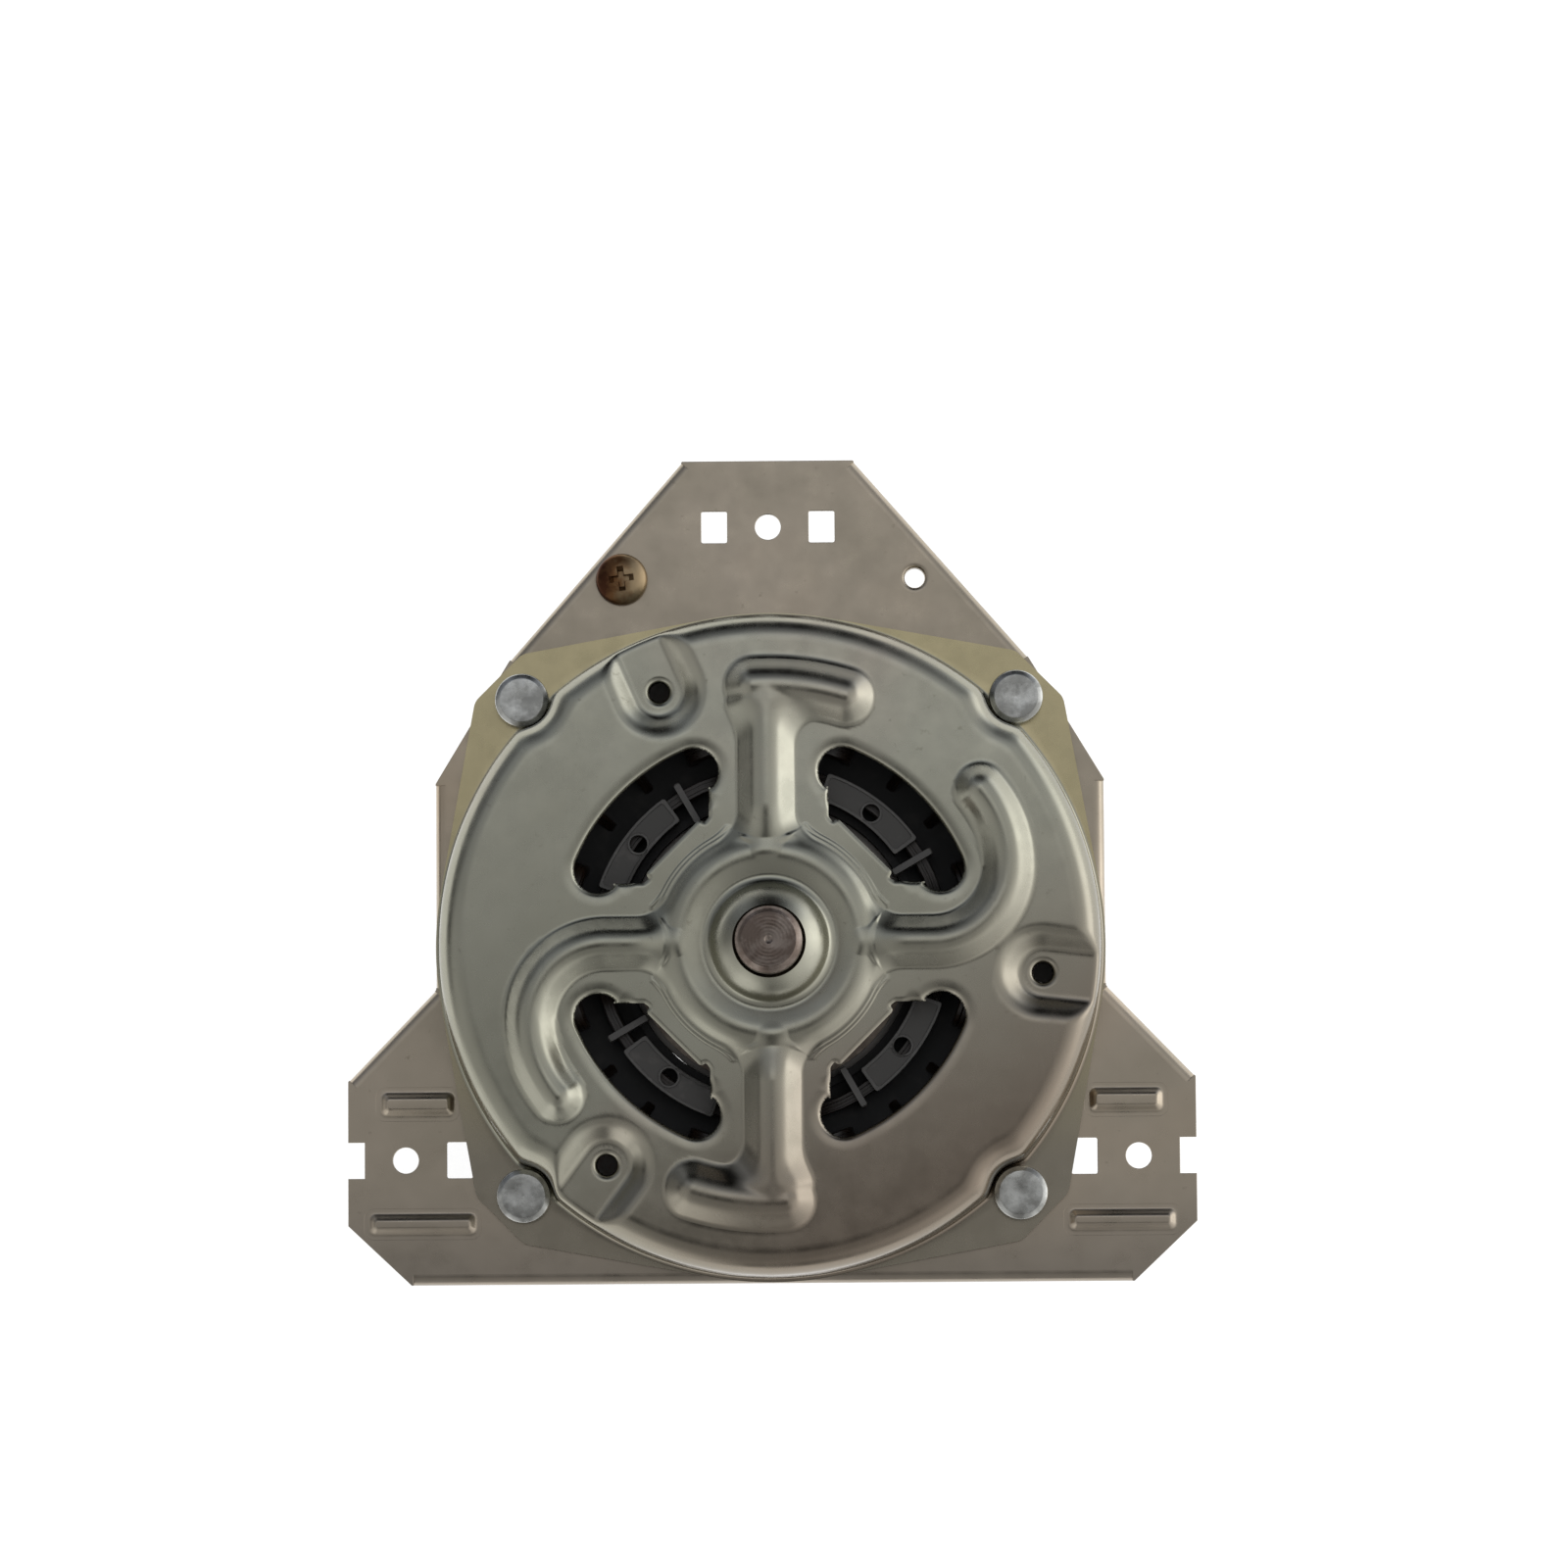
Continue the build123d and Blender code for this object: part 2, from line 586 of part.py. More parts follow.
def face_slot_outline():
    """One slot of the insulator's face on the X axis, open to the bore."""
    radii = (PAD_INNER_RADIUS - OVERRUN, BORE_RADIUS + SLOT_DEPTH)
    half = [(radius, slot_half_width(radius)) for radius in radii]
    return half + [(x, -y) for x, y in reversed(half)]


def slot_angles():
    """Angles of the slots, half a step off the X axis."""
    return [(index + 0.5) * SLOT_STEP for index in range(SLOT_COUNT)]


def cut_slots(part, outline, low, high):
    """The part with a slot outline cut through it at every slot between two heights."""
    slot = prism(outline, low, high)
    for angle in slot_angles():
        part -= Rot(0, 0, angle) * slot
    return part


def make_stator():
    """The square stack of laminations with its bore, slots and bolt holes."""
    side = BOLT_PITCH + 2 * STATOR_EDGE_MARGIN
    corner = math.sqrt(2) * (side / math.sqrt(2) - EAR_DISTANCE + STATOR_CORNER_SETBACK)
    face = chamfer(Rectangle(side, side).vertices(), corner)
    for quarter in range(POLES):
        face -= Rot(0, 0, 90 * quarter) * Pos(side / 2, 0) * Circle(WELD_GROOVE_RADIUS)
    stack = Pos(0, 0, STACK_BOTTOM) * extrude(face, STACK_LENGTH)
    stack -= Pos(0, 0, (STACK_TOP + STACK_BOTTOM) / 2) * Cylinder(BORE_RADIUS, STACK_LENGTH + OVERRUN)
    stack = cut_slots(stack, slot_outline(), STACK_BOTTOM - OVERRUN, STACK_TOP + OVERRUN)
    return drilled(stack, square_places(BOLT_PITCH), BOLT_RADIUS + BOLT_HOLE_CLEARANCE)


def make_insulator():
    """End insulator: a slotted face, a wall round the bore and four pads with ribs."""
    outer_wall = PAD_INNER_RADIUS + INSULATOR_WALL
    face = tube(PAD_INNER_RADIUS, INSULATOR_FACE_RADIUS, 0, INSULATOR_FACE)
    part = cut_slots(face, face_slot_outline(), -OVERRUN, OVERRUN)
    part += tube(PAD_INNER_RADIUS, outer_wall, INSULATOR_FACE, PAD_TOP)
    pad_low = PAD_TOP - PAD_THICKNESS
    pad = [(PAD_INNER_RADIUS, pad_low), (PAD_OUTER_RADIUS, pad_low)]
    pad += [(PAD_OUTER_RADIUS, PAD_TOP), (PAD_INNER_RADIUS, PAD_TOP)]
    rib_length = PAD_RIB_REACH - PAD_INNER_RADIUS - INSULATOR_WALL / 2
    rib_centre = PAD_RIB_REACH - rib_length / 2
    rib = Pos(rib_centre, 0, PAD_TOP - PAD_THICKNESS / 2) * Box(rib_length, PAD_RIB_WIDTH, PAD_THICKNESS)
    for quarter in range(POLES):
        turn = quarter * POLE_STEP
        part += sector(pad, PAD_START_ANGLE + turn, PAD_SWEEP)
        part += Rot(0, 0, PAD_RIB_ANGLE + turn) * rib
        hole = Pos(*polar_place(PAD_HOLE_CIRCLE, PAD_HOLE_ANGLE + turn), PAD_TOP)
        part -= hole * Cylinder(PAD_HOLE_RADIUS, 2 * PAD_THICKNESS + OVERRUN / 2)
    return part


def make_coil(leg_radii, leg_width, arc_radii, height, span_slots):
    """One coil centred on the X axis: two legs in the slots and an arched turn at each end."""
    start = INSULATOR_FACE + COIL_GAP
    half_span = span_slots * SLOT_STEP
    inner, outer = arc_radii
    crown = (outer - inner) / 4
    section = [(inner, start), (outer, start), (outer, height - crown)]
    section += [(outer - crown, height), (inner + crown, height), (inner, height - crown)]
    turn = sector(section, -half_span, 2 * half_span)
    coil = Pos(0, 0, STACK_TOP) * turn + Pos(0, 0, STACK_BOTTOM) * mirror(turn, Plane.XY)
    depth = max(leg_radii[1], outer) - leg_radii[0]
    length = STACK_LENGTH + 2 * (height - crown)
    middle = (STACK_TOP + STACK_BOTTOM) / 2
    slot_leg = Box(leg_radii[1] - leg_radii[0], leg_width, STACK_LENGTH + 2 * start)
    end_leg = Box(depth, leg_width, length)
    end_leg -= Box(depth + OVERRUN, leg_width + OVERRUN, STACK_LENGTH + 2 * start)
    for side in (-1, 1):
        place = Rot(0, 0, side * half_span)
        coil += place * Pos(leg_radii[0] + (leg_radii[1] - leg_radii[0]) / 2, 0, middle) * slot_leg
        coil += place * Pos(leg_radii[0] + depth / 2, 0, middle) * end_leg
    return coil


def make_windings():
    """Two nested main coils and one auxiliary coil for each pole."""
    outer = make_coil(MAIN_LEG_RADII, MAIN_LEG_WIDTH, OUTER_COIL_RADII, MAIN_COIL_HEIGHT, MAIN_SPAN_SLOTS)
    inner = make_coil(MAIN_LEG_RADII, MAIN_LEG_WIDTH, INNER_COIL_RADII, MAIN_COIL_HEIGHT, INNER_SPAN_SLOTS)
    start = make_coil(AUXILIARY_RADII, AUXILIARY_LEG_WIDTH, AUXILIARY_RADII, AUXILIARY_COIL_HEIGHT,
                      MAIN_SPAN_SLOTS)
    main = [Rot(0, 0, pole * POLE_STEP) * coil for pole in range(POLES) for coil in (outer, inner)]
    auxiliary = [Rot(0, 0, (pole + 0.5) * POLE_STEP) * start for pole in range(POLES)]
    return main, auxiliary


def make_wedges():
    """Thin strips that close the slots behind the tooth tips."""
    radius = BORE_RADIUS + TOOTH_TIP_THICKNESS + TOOTH_TIP_SLOPE - WEDGE_THICKNESS / 2
    strip = Pos(radius, 0, (STACK_TOP + STACK_BOTTOM) / 2) * Box(WEDGE_THICKNESS, WEDGE_WIDTH, STACK_LENGTH)
    return [Rot(0, 0, angle) * strip for angle in slot_angles()]


def make_cutout():
    """Thermal cutout capsule tied on top of a lower main coil."""
    body = Box(CUTOUT_WIDTH, CUTOUT_LENGTH, CUTOUT_THICKNESS)
    body = chamfer(body.edges(), CUTOUT_EDGE)
    radius = sum(OUTER_COIL_RADII) / 2
    return Rot(0, 0, CUTOUT_ANGLE) * Pos(radius, 0, MAIN_COIL_HEIGHT + CUTOUT_THICKNESS / 2) * body


# Rotor


def make_shaft():
    """Stepped shaft: two bearing journals, the rotor seat and the flatted drive end."""
    seat_top = STACK_TOP + rotor_shoulder()
    seat_bottom = STACK_BOTTOM - rotor_shoulder()
    c = SHAFT_CHAMFER
    outline = [(0, SHAFT_TOP), (SHAFT_RADIUS - c, SHAFT_TOP), (SHAFT_RADIUS, SHAFT_TOP - c)]
    outline += [(SHAFT_RADIUS, seat_top), (SHAFT_SEAT_RADIUS, seat_top)]
    outline += [(SHAFT_SEAT_RADIUS, seat_bottom), (SHAFT_RADIUS, seat_bottom)]
    outline += [(SHAFT_RADIUS, DRIVE_SHOULDER), (DRIVE_RADIUS, DRIVE_SHOULDER)]
    outline += [(DRIVE_RADIUS, SHAFT_BOTTOM + c), (DRIVE_RADIUS - c, SHAFT_BOTTOM), (0, SHAFT_BOTTOM)]
    shaft = turned(outline)
    flat_place = Pos(0, 2 * DRIVE_RADIUS - DRIVE_FLAT_DEPTH, (SHAFT_BOTTOM + DRIVE_SHOULDER) / 2)
    shaft -= flat_place * Box(2 * DRIVE_RADIUS, 2 * DRIVE_RADIUS, DRIVE_LENGTH)
    for low in circlip_heights():
        groove = SHAFT_RADIUS - CIRCLIP_GROOVE_DEPTH
        shaft -= tube(groove, SHAFT_RADIUS + OVERRUN, low - PRESS_FIT, low + CIRCLIP_THICKNESS + PRESS_FIT)
    return shaft


def rotor_shoulder():
    """How far the rotor seat stands out of the core, up to the circlip and washer at the lower bush."""
    stack_to_bush = BUSH_FACE
    return stack_to_bush - SEAT_GAP - THRUST_WASHER_THICKNESS - CIRCLIP_THICKNESS - 3 * SEAT_GAP


def circlip_heights():
    """Lower faces of the upper and lower circlips."""
    upper = BUSH_FACE - SEAT_GAP - THRUST_WASHER_THICKNESS - CIRCLIP_THICKNESS
    lower = STACK_BOTTOM - BUSH_FACE + SEAT_GAP + THRUST_WASHER_THICKNESS
    return upper, lower


def make_circlips():
    """Open spring rings in the shaft's grooves."""
    inner = SHAFT_RADIUS - CIRCLIP_GROOVE_DEPTH + PRESS_FIT
    outer = SHAFT_RADIUS + CIRCLIP_WIDTH
    rings = []
    for low in circlip_heights():
        ring = tube(inner, outer, low, low + CIRCLIP_THICKNESS)
        rings.append(ring - Pos(outer, 0, low) * Box(2 * outer - CIRCLIP_WIDTH, CIRCLIP_OPENING, OVERRUN))
    return rings


def make_thrust_washers():
    """Fibre washers between the circlips and the bushes."""
    inner = SHAFT_RADIUS + BUSH_RUNNING_FIT
    outer = inner + THRUST_WASHER_WIDTH
    upper = BUSH_FACE - SEAT_GAP - THRUST_WASHER_THICKNESS
    lower = STACK_BOTTOM - BUSH_FACE + SEAT_GAP
    return [tube(inner, outer, low, low + THRUST_WASHER_THICKNESS) for low in (upper, lower)]


def cage_bars(clearance):
    """The bars of the cage between the end faces of the core, wider by a clearance all round."""
    radius = ROTOR_RADIUS - CAGE_BAR_DEPTH - CAGE_BAR_LENGTH / 2
    section = (CAGE_BAR_LENGTH + 2 * clearance, CAGE_BAR_WIDTH + 2 * clearance)
    bar = Pos(radius, 0, (STACK_TOP + STACK_BOTTOM) / 2) * Box(*section, STACK_LENGTH)
    return [Rot(0, 0, index * 360 / CAGE_BARS) * bar for index in range(CAGE_BARS)]


def make_rotor_core():
    """Laminated rotor core with a closed slot for each bar."""
    core = tube(SHAFT_SEAT_RADIUS + PRESS_FIT, ROTOR_RADIUS, STACK_BOTTOM, STACK_TOP)
    for bar in cage_bars(PRESS_FIT):
        core -= bar
    return core


def make_cage():
    """Die-cast cage: bars through the core, an end ring on each side and short fan blades."""
    outer = ROTOR_RADIUS - CAGE_BAR_DEPTH
    inner = outer - CAGE_RING_WIDTH
    cage = tube(inner, outer, STACK_TOP, STACK_TOP + CAGE_RING_HEIGHT)
    cage += tube(inner, outer, STACK_BOTTOM - CAGE_RING_HEIGHT, STACK_BOTTOM)
    for bar in cage_bars(0):
        cage += bar
    blade_height = CAGE_BLADE_HEIGHT + CAGE_RING_HEIGHT
    blade = Box(CAGE_BLADE_LENGTH, CAGE_BLADE_THICKNESS, blade_height)
    for index in range(CAGE_BLADES):
        place = Rot(0, 0, index * 360 / CAGE_BLADES) * Pos((inner + outer) / 2, 0)
        cage += place * Pos(0, 0, STACK_TOP + blade_height / 2) * blade
        cage += place * Pos(0, 0, STACK_BOTTOM - blade_height / 2) * blade
    return cage


# Fasteners


def make_bolts():
    """Round-headed through bolts from the upper flange to past the nuts."""
    head_top = CAP_SHEET + BOLT_HEAD_HEIGHT
    end = nut_heights()[0] - BOLT_END_LENGTH
    edge = BOLT_HEAD_EDGE
    outline = [(0, head_top), (BOLT_HEAD_RADIUS - edge, head_top), (BOLT_HEAD_RADIUS, head_top - edge)]
    outline += [(BOLT_HEAD_RADIUS, CAP_SHEET), (BOLT_RADIUS, CAP_SHEET), (BOLT_RADIUS, end), (0, end)]
    bolt = turned(outline)
    return [Pos(x, y) * bolt for x, y in square_places(BOLT_PITCH)]


def nut_heights():
    """Bottom and top of the nuts, under the spring washers and the lower flange."""
    top = STACK_BOTTOM - CAP_SHEET - WASHER_THICKNESS
    return top - NUT_HEIGHT, top


def make_washers():
    """Split spring washers under the nuts."""
    top = STACK_BOTTOM - CAP_SHEET
    inner = BOLT_RADIUS + BOLT_HOLE_CLEARANCE
    ring = tube(inner, WASHER_RADIUS, top - WASHER_THICKNESS, top)
    split = Box(2 * (WASHER_RADIUS - inner) + WASHER_SPLIT, WASHER_SPLIT, OVERRUN)
    washer = ring - Pos(WASHER_RADIUS, 0, top) * split
    return [Pos(x, y) * washer for x, y in square_places(BOLT_PITCH)]


def make_nuts():
    """Hexagon nuts on the ends of the through bolts."""
    low, high = nut_heights()
    hexagon = RegularPolygon(NUT_ACROSS_FLATS / 2, 6, major_radius=False)
    nut = Pos(0, 0, low) * extrude(hexagon - Circle(BOLT_RADIUS + THREAD_FIT), high - low)
    return [Pos(x, y) * nut for x, y in square_places(BOLT_PITCH)]


# Mounting plate


def mount_places():
    """The three mounting holes: top, lower left and lower right."""
    side = MOUNT_SPACING / 2
    return [(0, MOUNT_CIRCLE_RADIUS), (-side, MOUNT_LOW), (side, MOUNT_LOW)]


def plate_corners():
    """Right half of the plate's outline, from the top edge down to the bottom edge."""
    bolt = BOLT_PITCH / 2
    foot = MOUNT_SPACING / 2 + FOOT_SIDE_MARGIN
    bottom = MOUNT_LOW - BOTTOM_MARGIN
    corners = [(PLATE_TOP_HALF_WIDTH, MOUNT_CIRCLE_RADIUS + PLATE_TOP_MARGIN)]
    corners += [(bolt + SHOULDER_MARGIN[0], bolt + SHOULDER_MARGIN[1])]
    corners += [(WAIST_HALF_WIDTH, WAIST_TOP), (WAIST_HALF_WIDTH, WAIST_BOTTOM)]
    corners += [(foot, MOUNT_LOW + FOOT_TOP_MARGIN), (foot, MOUNT_LOW - FOOT_BOTTOM_MARGIN)]
    corners += [(foot - FOOT_CHAMFER, bottom)]
    return corners


def make_lip(start, end):
    """A bent-down lip along an edge, and the strip of flat sheet that its bend replaces."""
    edge = Vector(*end) - Vector(*start)
    direction = edge.normalized()
    length = edge.length - 2 * LIP_END_RELIEF
    origin = Vector(*end) - direction * LIP_END_RELIEF
    inward = direction.cross(Vector(0, 0, 1))
    plane = Plane(origin=(origin.X, origin.Y, 0), x_dir=inward, z_dir=inward.cross(Vector(0, 0, 1)))
    outer = LIP_BEND_RADIUS
    inner = outer - PLATE_SHEET
    middle = math.sqrt(0.5)
    edges = [ThreePointArc((outer, 0), (outer * (1 - middle), outer * (middle - 1)), (0, -outer))]
    edges.append(Polyline((0, -outer), (0, -LIP_DEPTH), (PLATE_SHEET, -LIP_DEPTH), (PLATE_SHEET, -outer)))
    bend = (outer - inner * middle, inner * middle - outer)
    edges.append(ThreePointArc((PLATE_SHEET, -outer), bend, (outer, -PLATE_SHEET)))
    edges.append(Line((outer, -PLATE_SHEET), (outer, 0)))
    strip = Pos((outer - OVERRUN) / 2, 0, length / 2) * Box(outer + OVERRUN, 2 * OVERRUN, length)
    return extrude(plane * make_face(edges), length), plane.location * strip


def lip_edges():
    """The outline edges that carry a lip, on the right half, then the bottom edge."""
    c = plate_corners()
    return [(c[0], c[1]), (c[2], c[3]), (c[3], c[4])]


def make_plate():
    """The triangular plate: sheet, opening, lips, beads, windows and holes."""
    right = plate_corners()
    outline = right + [(-x, y) for x, y in reversed(right)]
    plate = prism(outline, -PLATE_SHEET, 0)
    for start, end in lip_edges():
        lip, strip = make_lip(start, end)
        plate = plate - strip - mirror(strip, Plane.YZ) + lip + mirror(lip, Plane.YZ)
    lip, strip = make_lip(right[-1], outline[len(right)])
    plate = plate - strip + lip
    plate -= Cylinder(PLATE_OPENING_RADIUS, 2 * PLATE_SHEET + OVERRUN)
    for side in (-1, 1):
        plate = add_beads(plate, side)
        plate = cut_side_lugs(plate, side)
        lug = Pos(side * LUG_OFFSET, MOUNT_CIRCLE_RADIUS)
        plate -= lug * Box(LUG_WIDTH, TOP_LUG_HEIGHT, 2 * PLATE_SHEET + OVERRUN)
    collar_top = -PLATE_SHEET
    collar_low = collar_top - EARTH_COLLAR_DEPTH
    for x, bore in earth_holes():
        collar = tube(bore, bore + EARTH_COLLAR_WALL, collar_low, collar_top)
        plate += Pos(x, earth_height()) * collar
        plate = drilled(plate, [(x, earth_height())], bore)
    plate = drilled(plate, square_places(BOLT_PITCH), BOLT_RADIUS + BOLT_HOLE_CLEARANCE)
    return drilled(plate, mount_places(), MOUNT_HOLE_RADIUS)


def add_beads(plate, side):
    """Two pressed beads on one foot of the plate, the lower one open to the edge."""
    hole_x = side * MOUNT_SPACING / 2
    upper_y = MOUNT_LOW + UPPER_BEAD_RISE
    lower_y = MOUNT_LOW - LOWER_BEAD_DROP
    ends = [hole_x + side * offset for offset in UPPER_BEAD_ENDS]
    edge_x = hole_x + side * (FOOT_SIDE_MARGIN - FOOT_CHAMFER / 2)
    lower_end = hole_x - side * LOWER_BEAD_END
    for inset in (0, PLATE_SHEET):
        upper = ridge_section(UPPER_BEAD_WIDTH, BEAD_HEIGHT, BEAD_FLANK_RUN, 0, PLATE_SHEET, inset)
        lower = ridge_section(LOWER_BEAD_WIDTH, BEAD_HEIGHT, BEAD_FLANK_RUN, 0, PLATE_SHEET, inset)
        beads = ridge_run((ends[0], upper_y), (ends[1], upper_y), upper)
        beads += ridge_end((ends[0], upper_y), upper) + ridge_end((ends[1], upper_y), upper)
        beads += ridge_run((edge_x, lower_y), (lower_end, lower_y), lower)
        beads += ridge_end((lower_end, lower_y), lower) + ridge_end((edge_x, lower_y), lower)
        plate = plate - beads if inset else plate + beads
    return plate


def cut_side_lugs(plate, side):
    """The inner window and the open notch beside one lower mounting hole."""
    hole_x = side * MOUNT_SPACING / 2
    height = 2 * PLATE_SHEET + OVERRUN
    plate -= Pos(hole_x - side * LUG_OFFSET, MOUNT_LOW) * Box(LUG_WIDTH, SIDE_LUG_HEIGHT, height)
    notch = Box(2 * OVERRUN, SIDE_LUG_HEIGHT, height)
    return plate - Pos(hole_x + side * (NOTCH_OFFSET + OVERRUN), MOUNT_LOW) * notch


def earth_height():
    """Y of the earth screw and its twin hole."""
    return MOUNT_CIRCLE_RADIUS - EARTH_DROP


def earth_holes():
    """X and bore of the screwed hole and of the empty tapped hole."""
    return [(-EARTH_OFFSET, EARTH_SCREW_RADIUS + THREAD_FIT), (EARTH_OFFSET, EARTH_TAP_RADIUS)]


def make_earth_screw():
    """Pan-head screw with a cross recess."""
    edge = SCREW_HEAD_EDGE
    outline = [(0, SCREW_HEAD_HEIGHT), (SCREW_HEAD_RADIUS - edge, SCREW_HEAD_HEIGHT)]
    outline += [(SCREW_HEAD_RADIUS, SCREW_HEAD_HEIGHT - edge), (SCREW_HEAD_RADIUS, 0)]
    outline += [(EARTH_SCREW_RADIUS, 0), (EARTH_SCREW_RADIUS, -SCREW_LENGTH), (0, -SCREW_LENGTH)]
    screw = turned(outline)
    recess = Pos(0, 0, SCREW_HEAD_HEIGHT) * Box(RECESS_LENGTH, RECESS_WIDTH, 2 * RECESS_DEPTH)
    screw = screw - recess - Rot(0, 0, 90) * recess
    return Pos(-EARTH_OFFSET, earth_height()) * screw


def build():
    """Make every node."""
    cap = make_end_cap()
    keep("mounting_plate", make_plate())
    keep("upper_end_cap", cap)
    keep("lower_end_cap", at_lower(make_lower_cap(cap)))
    keep("lead_grommet", at_lower(make_grommet()))
    bearing = {"bearing_bush": make_bush(), "bearing_retainer": make_retainer(), "oil_felt": make_felt()}
    for name, piece in bearing.items():
        keep("upper_" + name, piece)
        keep("lower_" + name, at_lower(piece))
    keep("stator_core", make_stator())
    insulator = make_insulator()
    keep("upper_slot_insulator", Pos(0, 0, STACK_TOP) * insulator)
    keep("lower_slot_insulator", at_lower(insulator))
    main, auxiliary = make_windings()
    keep("main_windings", *main)
    keep("auxiliary_windings", *auxiliary)
    keep("slot_wedges", *make_wedges())
    keep("thermal_cutout", at_lower(make_cutout()))
    keep("rotor_shaft", make_shaft())
    keep("rotor_core", make_rotor_core())
    keep("rotor_cage", make_cage())
    keep("shaft_circlips", *make_circlips())
    keep("thrust_washers", *make_thrust_washers())
    keep("through_bolts", *make_bolts())
    keep("spring_washers", *make_washers())
    keep("hex_nuts", *make_nuts())
    keep("earth_screw", make_earth_screw())


build()
os.makedirs("parts", exist_ok=True)
for node_name, node in NODES.items():
    export_step(node, f"parts/{node_name}.step")
print(f"{len(NODES)} nodes, shaft from {SHAFT_BOTTOM:.2f} to {SHAFT_TOP:.2f}")
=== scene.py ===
import math
import random

import bpy
import numpy as np
from mathutils import Matrix, Vector


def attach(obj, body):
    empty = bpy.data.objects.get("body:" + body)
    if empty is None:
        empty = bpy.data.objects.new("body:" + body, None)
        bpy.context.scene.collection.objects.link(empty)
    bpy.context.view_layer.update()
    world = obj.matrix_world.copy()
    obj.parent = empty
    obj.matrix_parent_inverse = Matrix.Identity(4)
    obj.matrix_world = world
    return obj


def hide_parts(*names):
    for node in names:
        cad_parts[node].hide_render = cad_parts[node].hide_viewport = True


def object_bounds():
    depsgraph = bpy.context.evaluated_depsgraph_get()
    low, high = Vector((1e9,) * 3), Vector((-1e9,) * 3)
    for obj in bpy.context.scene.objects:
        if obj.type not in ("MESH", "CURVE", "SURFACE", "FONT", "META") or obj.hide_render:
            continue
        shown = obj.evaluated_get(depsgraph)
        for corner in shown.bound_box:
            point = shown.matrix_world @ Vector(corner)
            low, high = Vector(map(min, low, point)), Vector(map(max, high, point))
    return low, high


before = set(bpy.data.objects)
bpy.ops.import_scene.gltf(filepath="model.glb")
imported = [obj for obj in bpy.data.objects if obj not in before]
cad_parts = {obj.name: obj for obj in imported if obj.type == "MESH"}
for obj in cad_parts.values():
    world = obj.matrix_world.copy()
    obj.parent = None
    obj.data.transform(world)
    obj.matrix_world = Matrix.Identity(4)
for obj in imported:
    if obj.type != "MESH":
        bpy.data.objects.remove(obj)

# Dressed model of a wash motor. Sizes are in millimetres in the CAD frame and MM makes them metres.
MM = 0.001
CAD_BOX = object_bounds()
STATIC = "motor_frame"
ROTOR = "rotor"
QUARTERS = (0, 90, 180, 270)
ON_AXIS = 1e-6
FAR_AWAY = 1e9

# Camera, fitted to the photograph's holes and bolt heads
IMAGE_SIZE = 1600
SENSOR_WIDTH = 36.0
CAMERA_DISTANCE = 1200.0
CAMERA_FOCAL_PIXELS = 5764.6
CAMERA_AZIMUTH = -8.13
CAMERA_ELEVATION = 85.725
CAMERA_ROLL = -8.558
CAMERA_AIM = (3.07, 34.5, 0.0)

# Heights of the stack and the sheet metal
PLATE_SHEET = 1.5
CAP_SHEET = 1.2
STACK_TOP = -1.5
STACK_BOTTOM = -33.5

# Bolts
BOLT_PITCH = 104.8
BOLT_RADIUS = 3.0
BOLT_HEAD_RADIUS = 5.7
BOLT_HEAD_HEIGHT = 3.6
THREAD_PITCH = 1.0
THREAD_DEPTH = 0.55
WASHER_RADIUS = 5.1
WASHER_THICKNESS = 1.4
NUT_ACROSS_FLATS = 10.0
NUT_HEIGHT = 5.0
BOLT_END_LENGTH = 2.5
THREAD_LENGTH = 12.0

# End cap
PROFILE_END = 90.0
HOLE_RADIUS = 7.65
FLANGE_RADIUS = 70.9
EAR_REACH = 7.2
EAR_HALF_WIDTH = 7.1
EAR_BLEND = 0.7
DOME_BASE_RADIUS = 70.0
DOME_RISE = 20.0
DOME_DRAFT = 3.0
DOME_CORNER = 5.4
CROWN_DROP = 0.5
CROWN_DROP_START = 25.0
DOME_FOOT = 0.9
SCALLOP_RADIUS = 6.2
SCALLOP_BLEND = 1.6
HUB_FOOT_RADIUS = 23.7
# The ledge round the hub's foot as (run outward, rise)
HUB_LEDGE = [(1.25, 0.0), (1.0, 0.2), (0.5, 0.22), (0.2, 0.42)]
LEDGE_ROUNDING = 0.15
HUB_FOOT_ROUNDING = 1.4
HUB_FLANK_ANGLE = 52.0
HUB_DISH_ANGLE = 17.0
HUB_RIM_RADIUS = 5.5
HUB_CREASE_RADIUS = 13.05
HUB_CREASE_HEIGHT = 21.0
HUB_CREASE_FILLET = 2.1
BUSH_SEAT_OUTER = 11.4
BUSH_SEAT_RADIUS = 15.0
RIB_WIDTH = 12.2
HOOK_WIDTH = 11.0
RIB_HEIGHT = 3.6
RIB_OFFSET = -0.5
RIB_FOOT_RADIUS = 0.8
RIB_START_RADIUS = 15.0
RIB_ROOT_SHARE = 0.64
RIB_FILLET = 7.0
HUB_FILLET = 5.0
HUB_RIB_BLEND = 1.4
FILLET_ZONE = (20.5, 23.0)
LEDGE_ZONE = (0.5, 4.5)
RIB_START_ZONE = (14.0, 19.5)
RIB_ROOT_ZONE = (19.5, 29.0)
BLEND_ZONE = (0.3, 2.0)
WINDOW_SIDE_ZONE = (30.0, 32.5)
RIB_TOP_RADIUS = 5.0
HOOK_TOP_RADIUS = 4.2
BAR_RADIUS = 53.9
BAR_START_ANGLE = 72.5
BAR_SWEEP = 20.7
HOOK_STRAIGHT = 34.0
HOOK_BEND_RADIUS = 16.0
HOOK_CURL_RADIUS = 24.5
HOOK_CURL_SWEEP = 40.0
WINDOW_OUTER_RADIUS = 43.9
WINDOW_LOBE_RADIUS = 4.95
WINDOW_LOBE_OFFSET = 15.4
WINDOW_SIDE_OFFSET = 12.5
WINDOW_SIDE_END = 26.2
WINDOW_NOTCH = (13.4, 25.0)
WINDOW_EDGE_END = (14.4, 25.8)
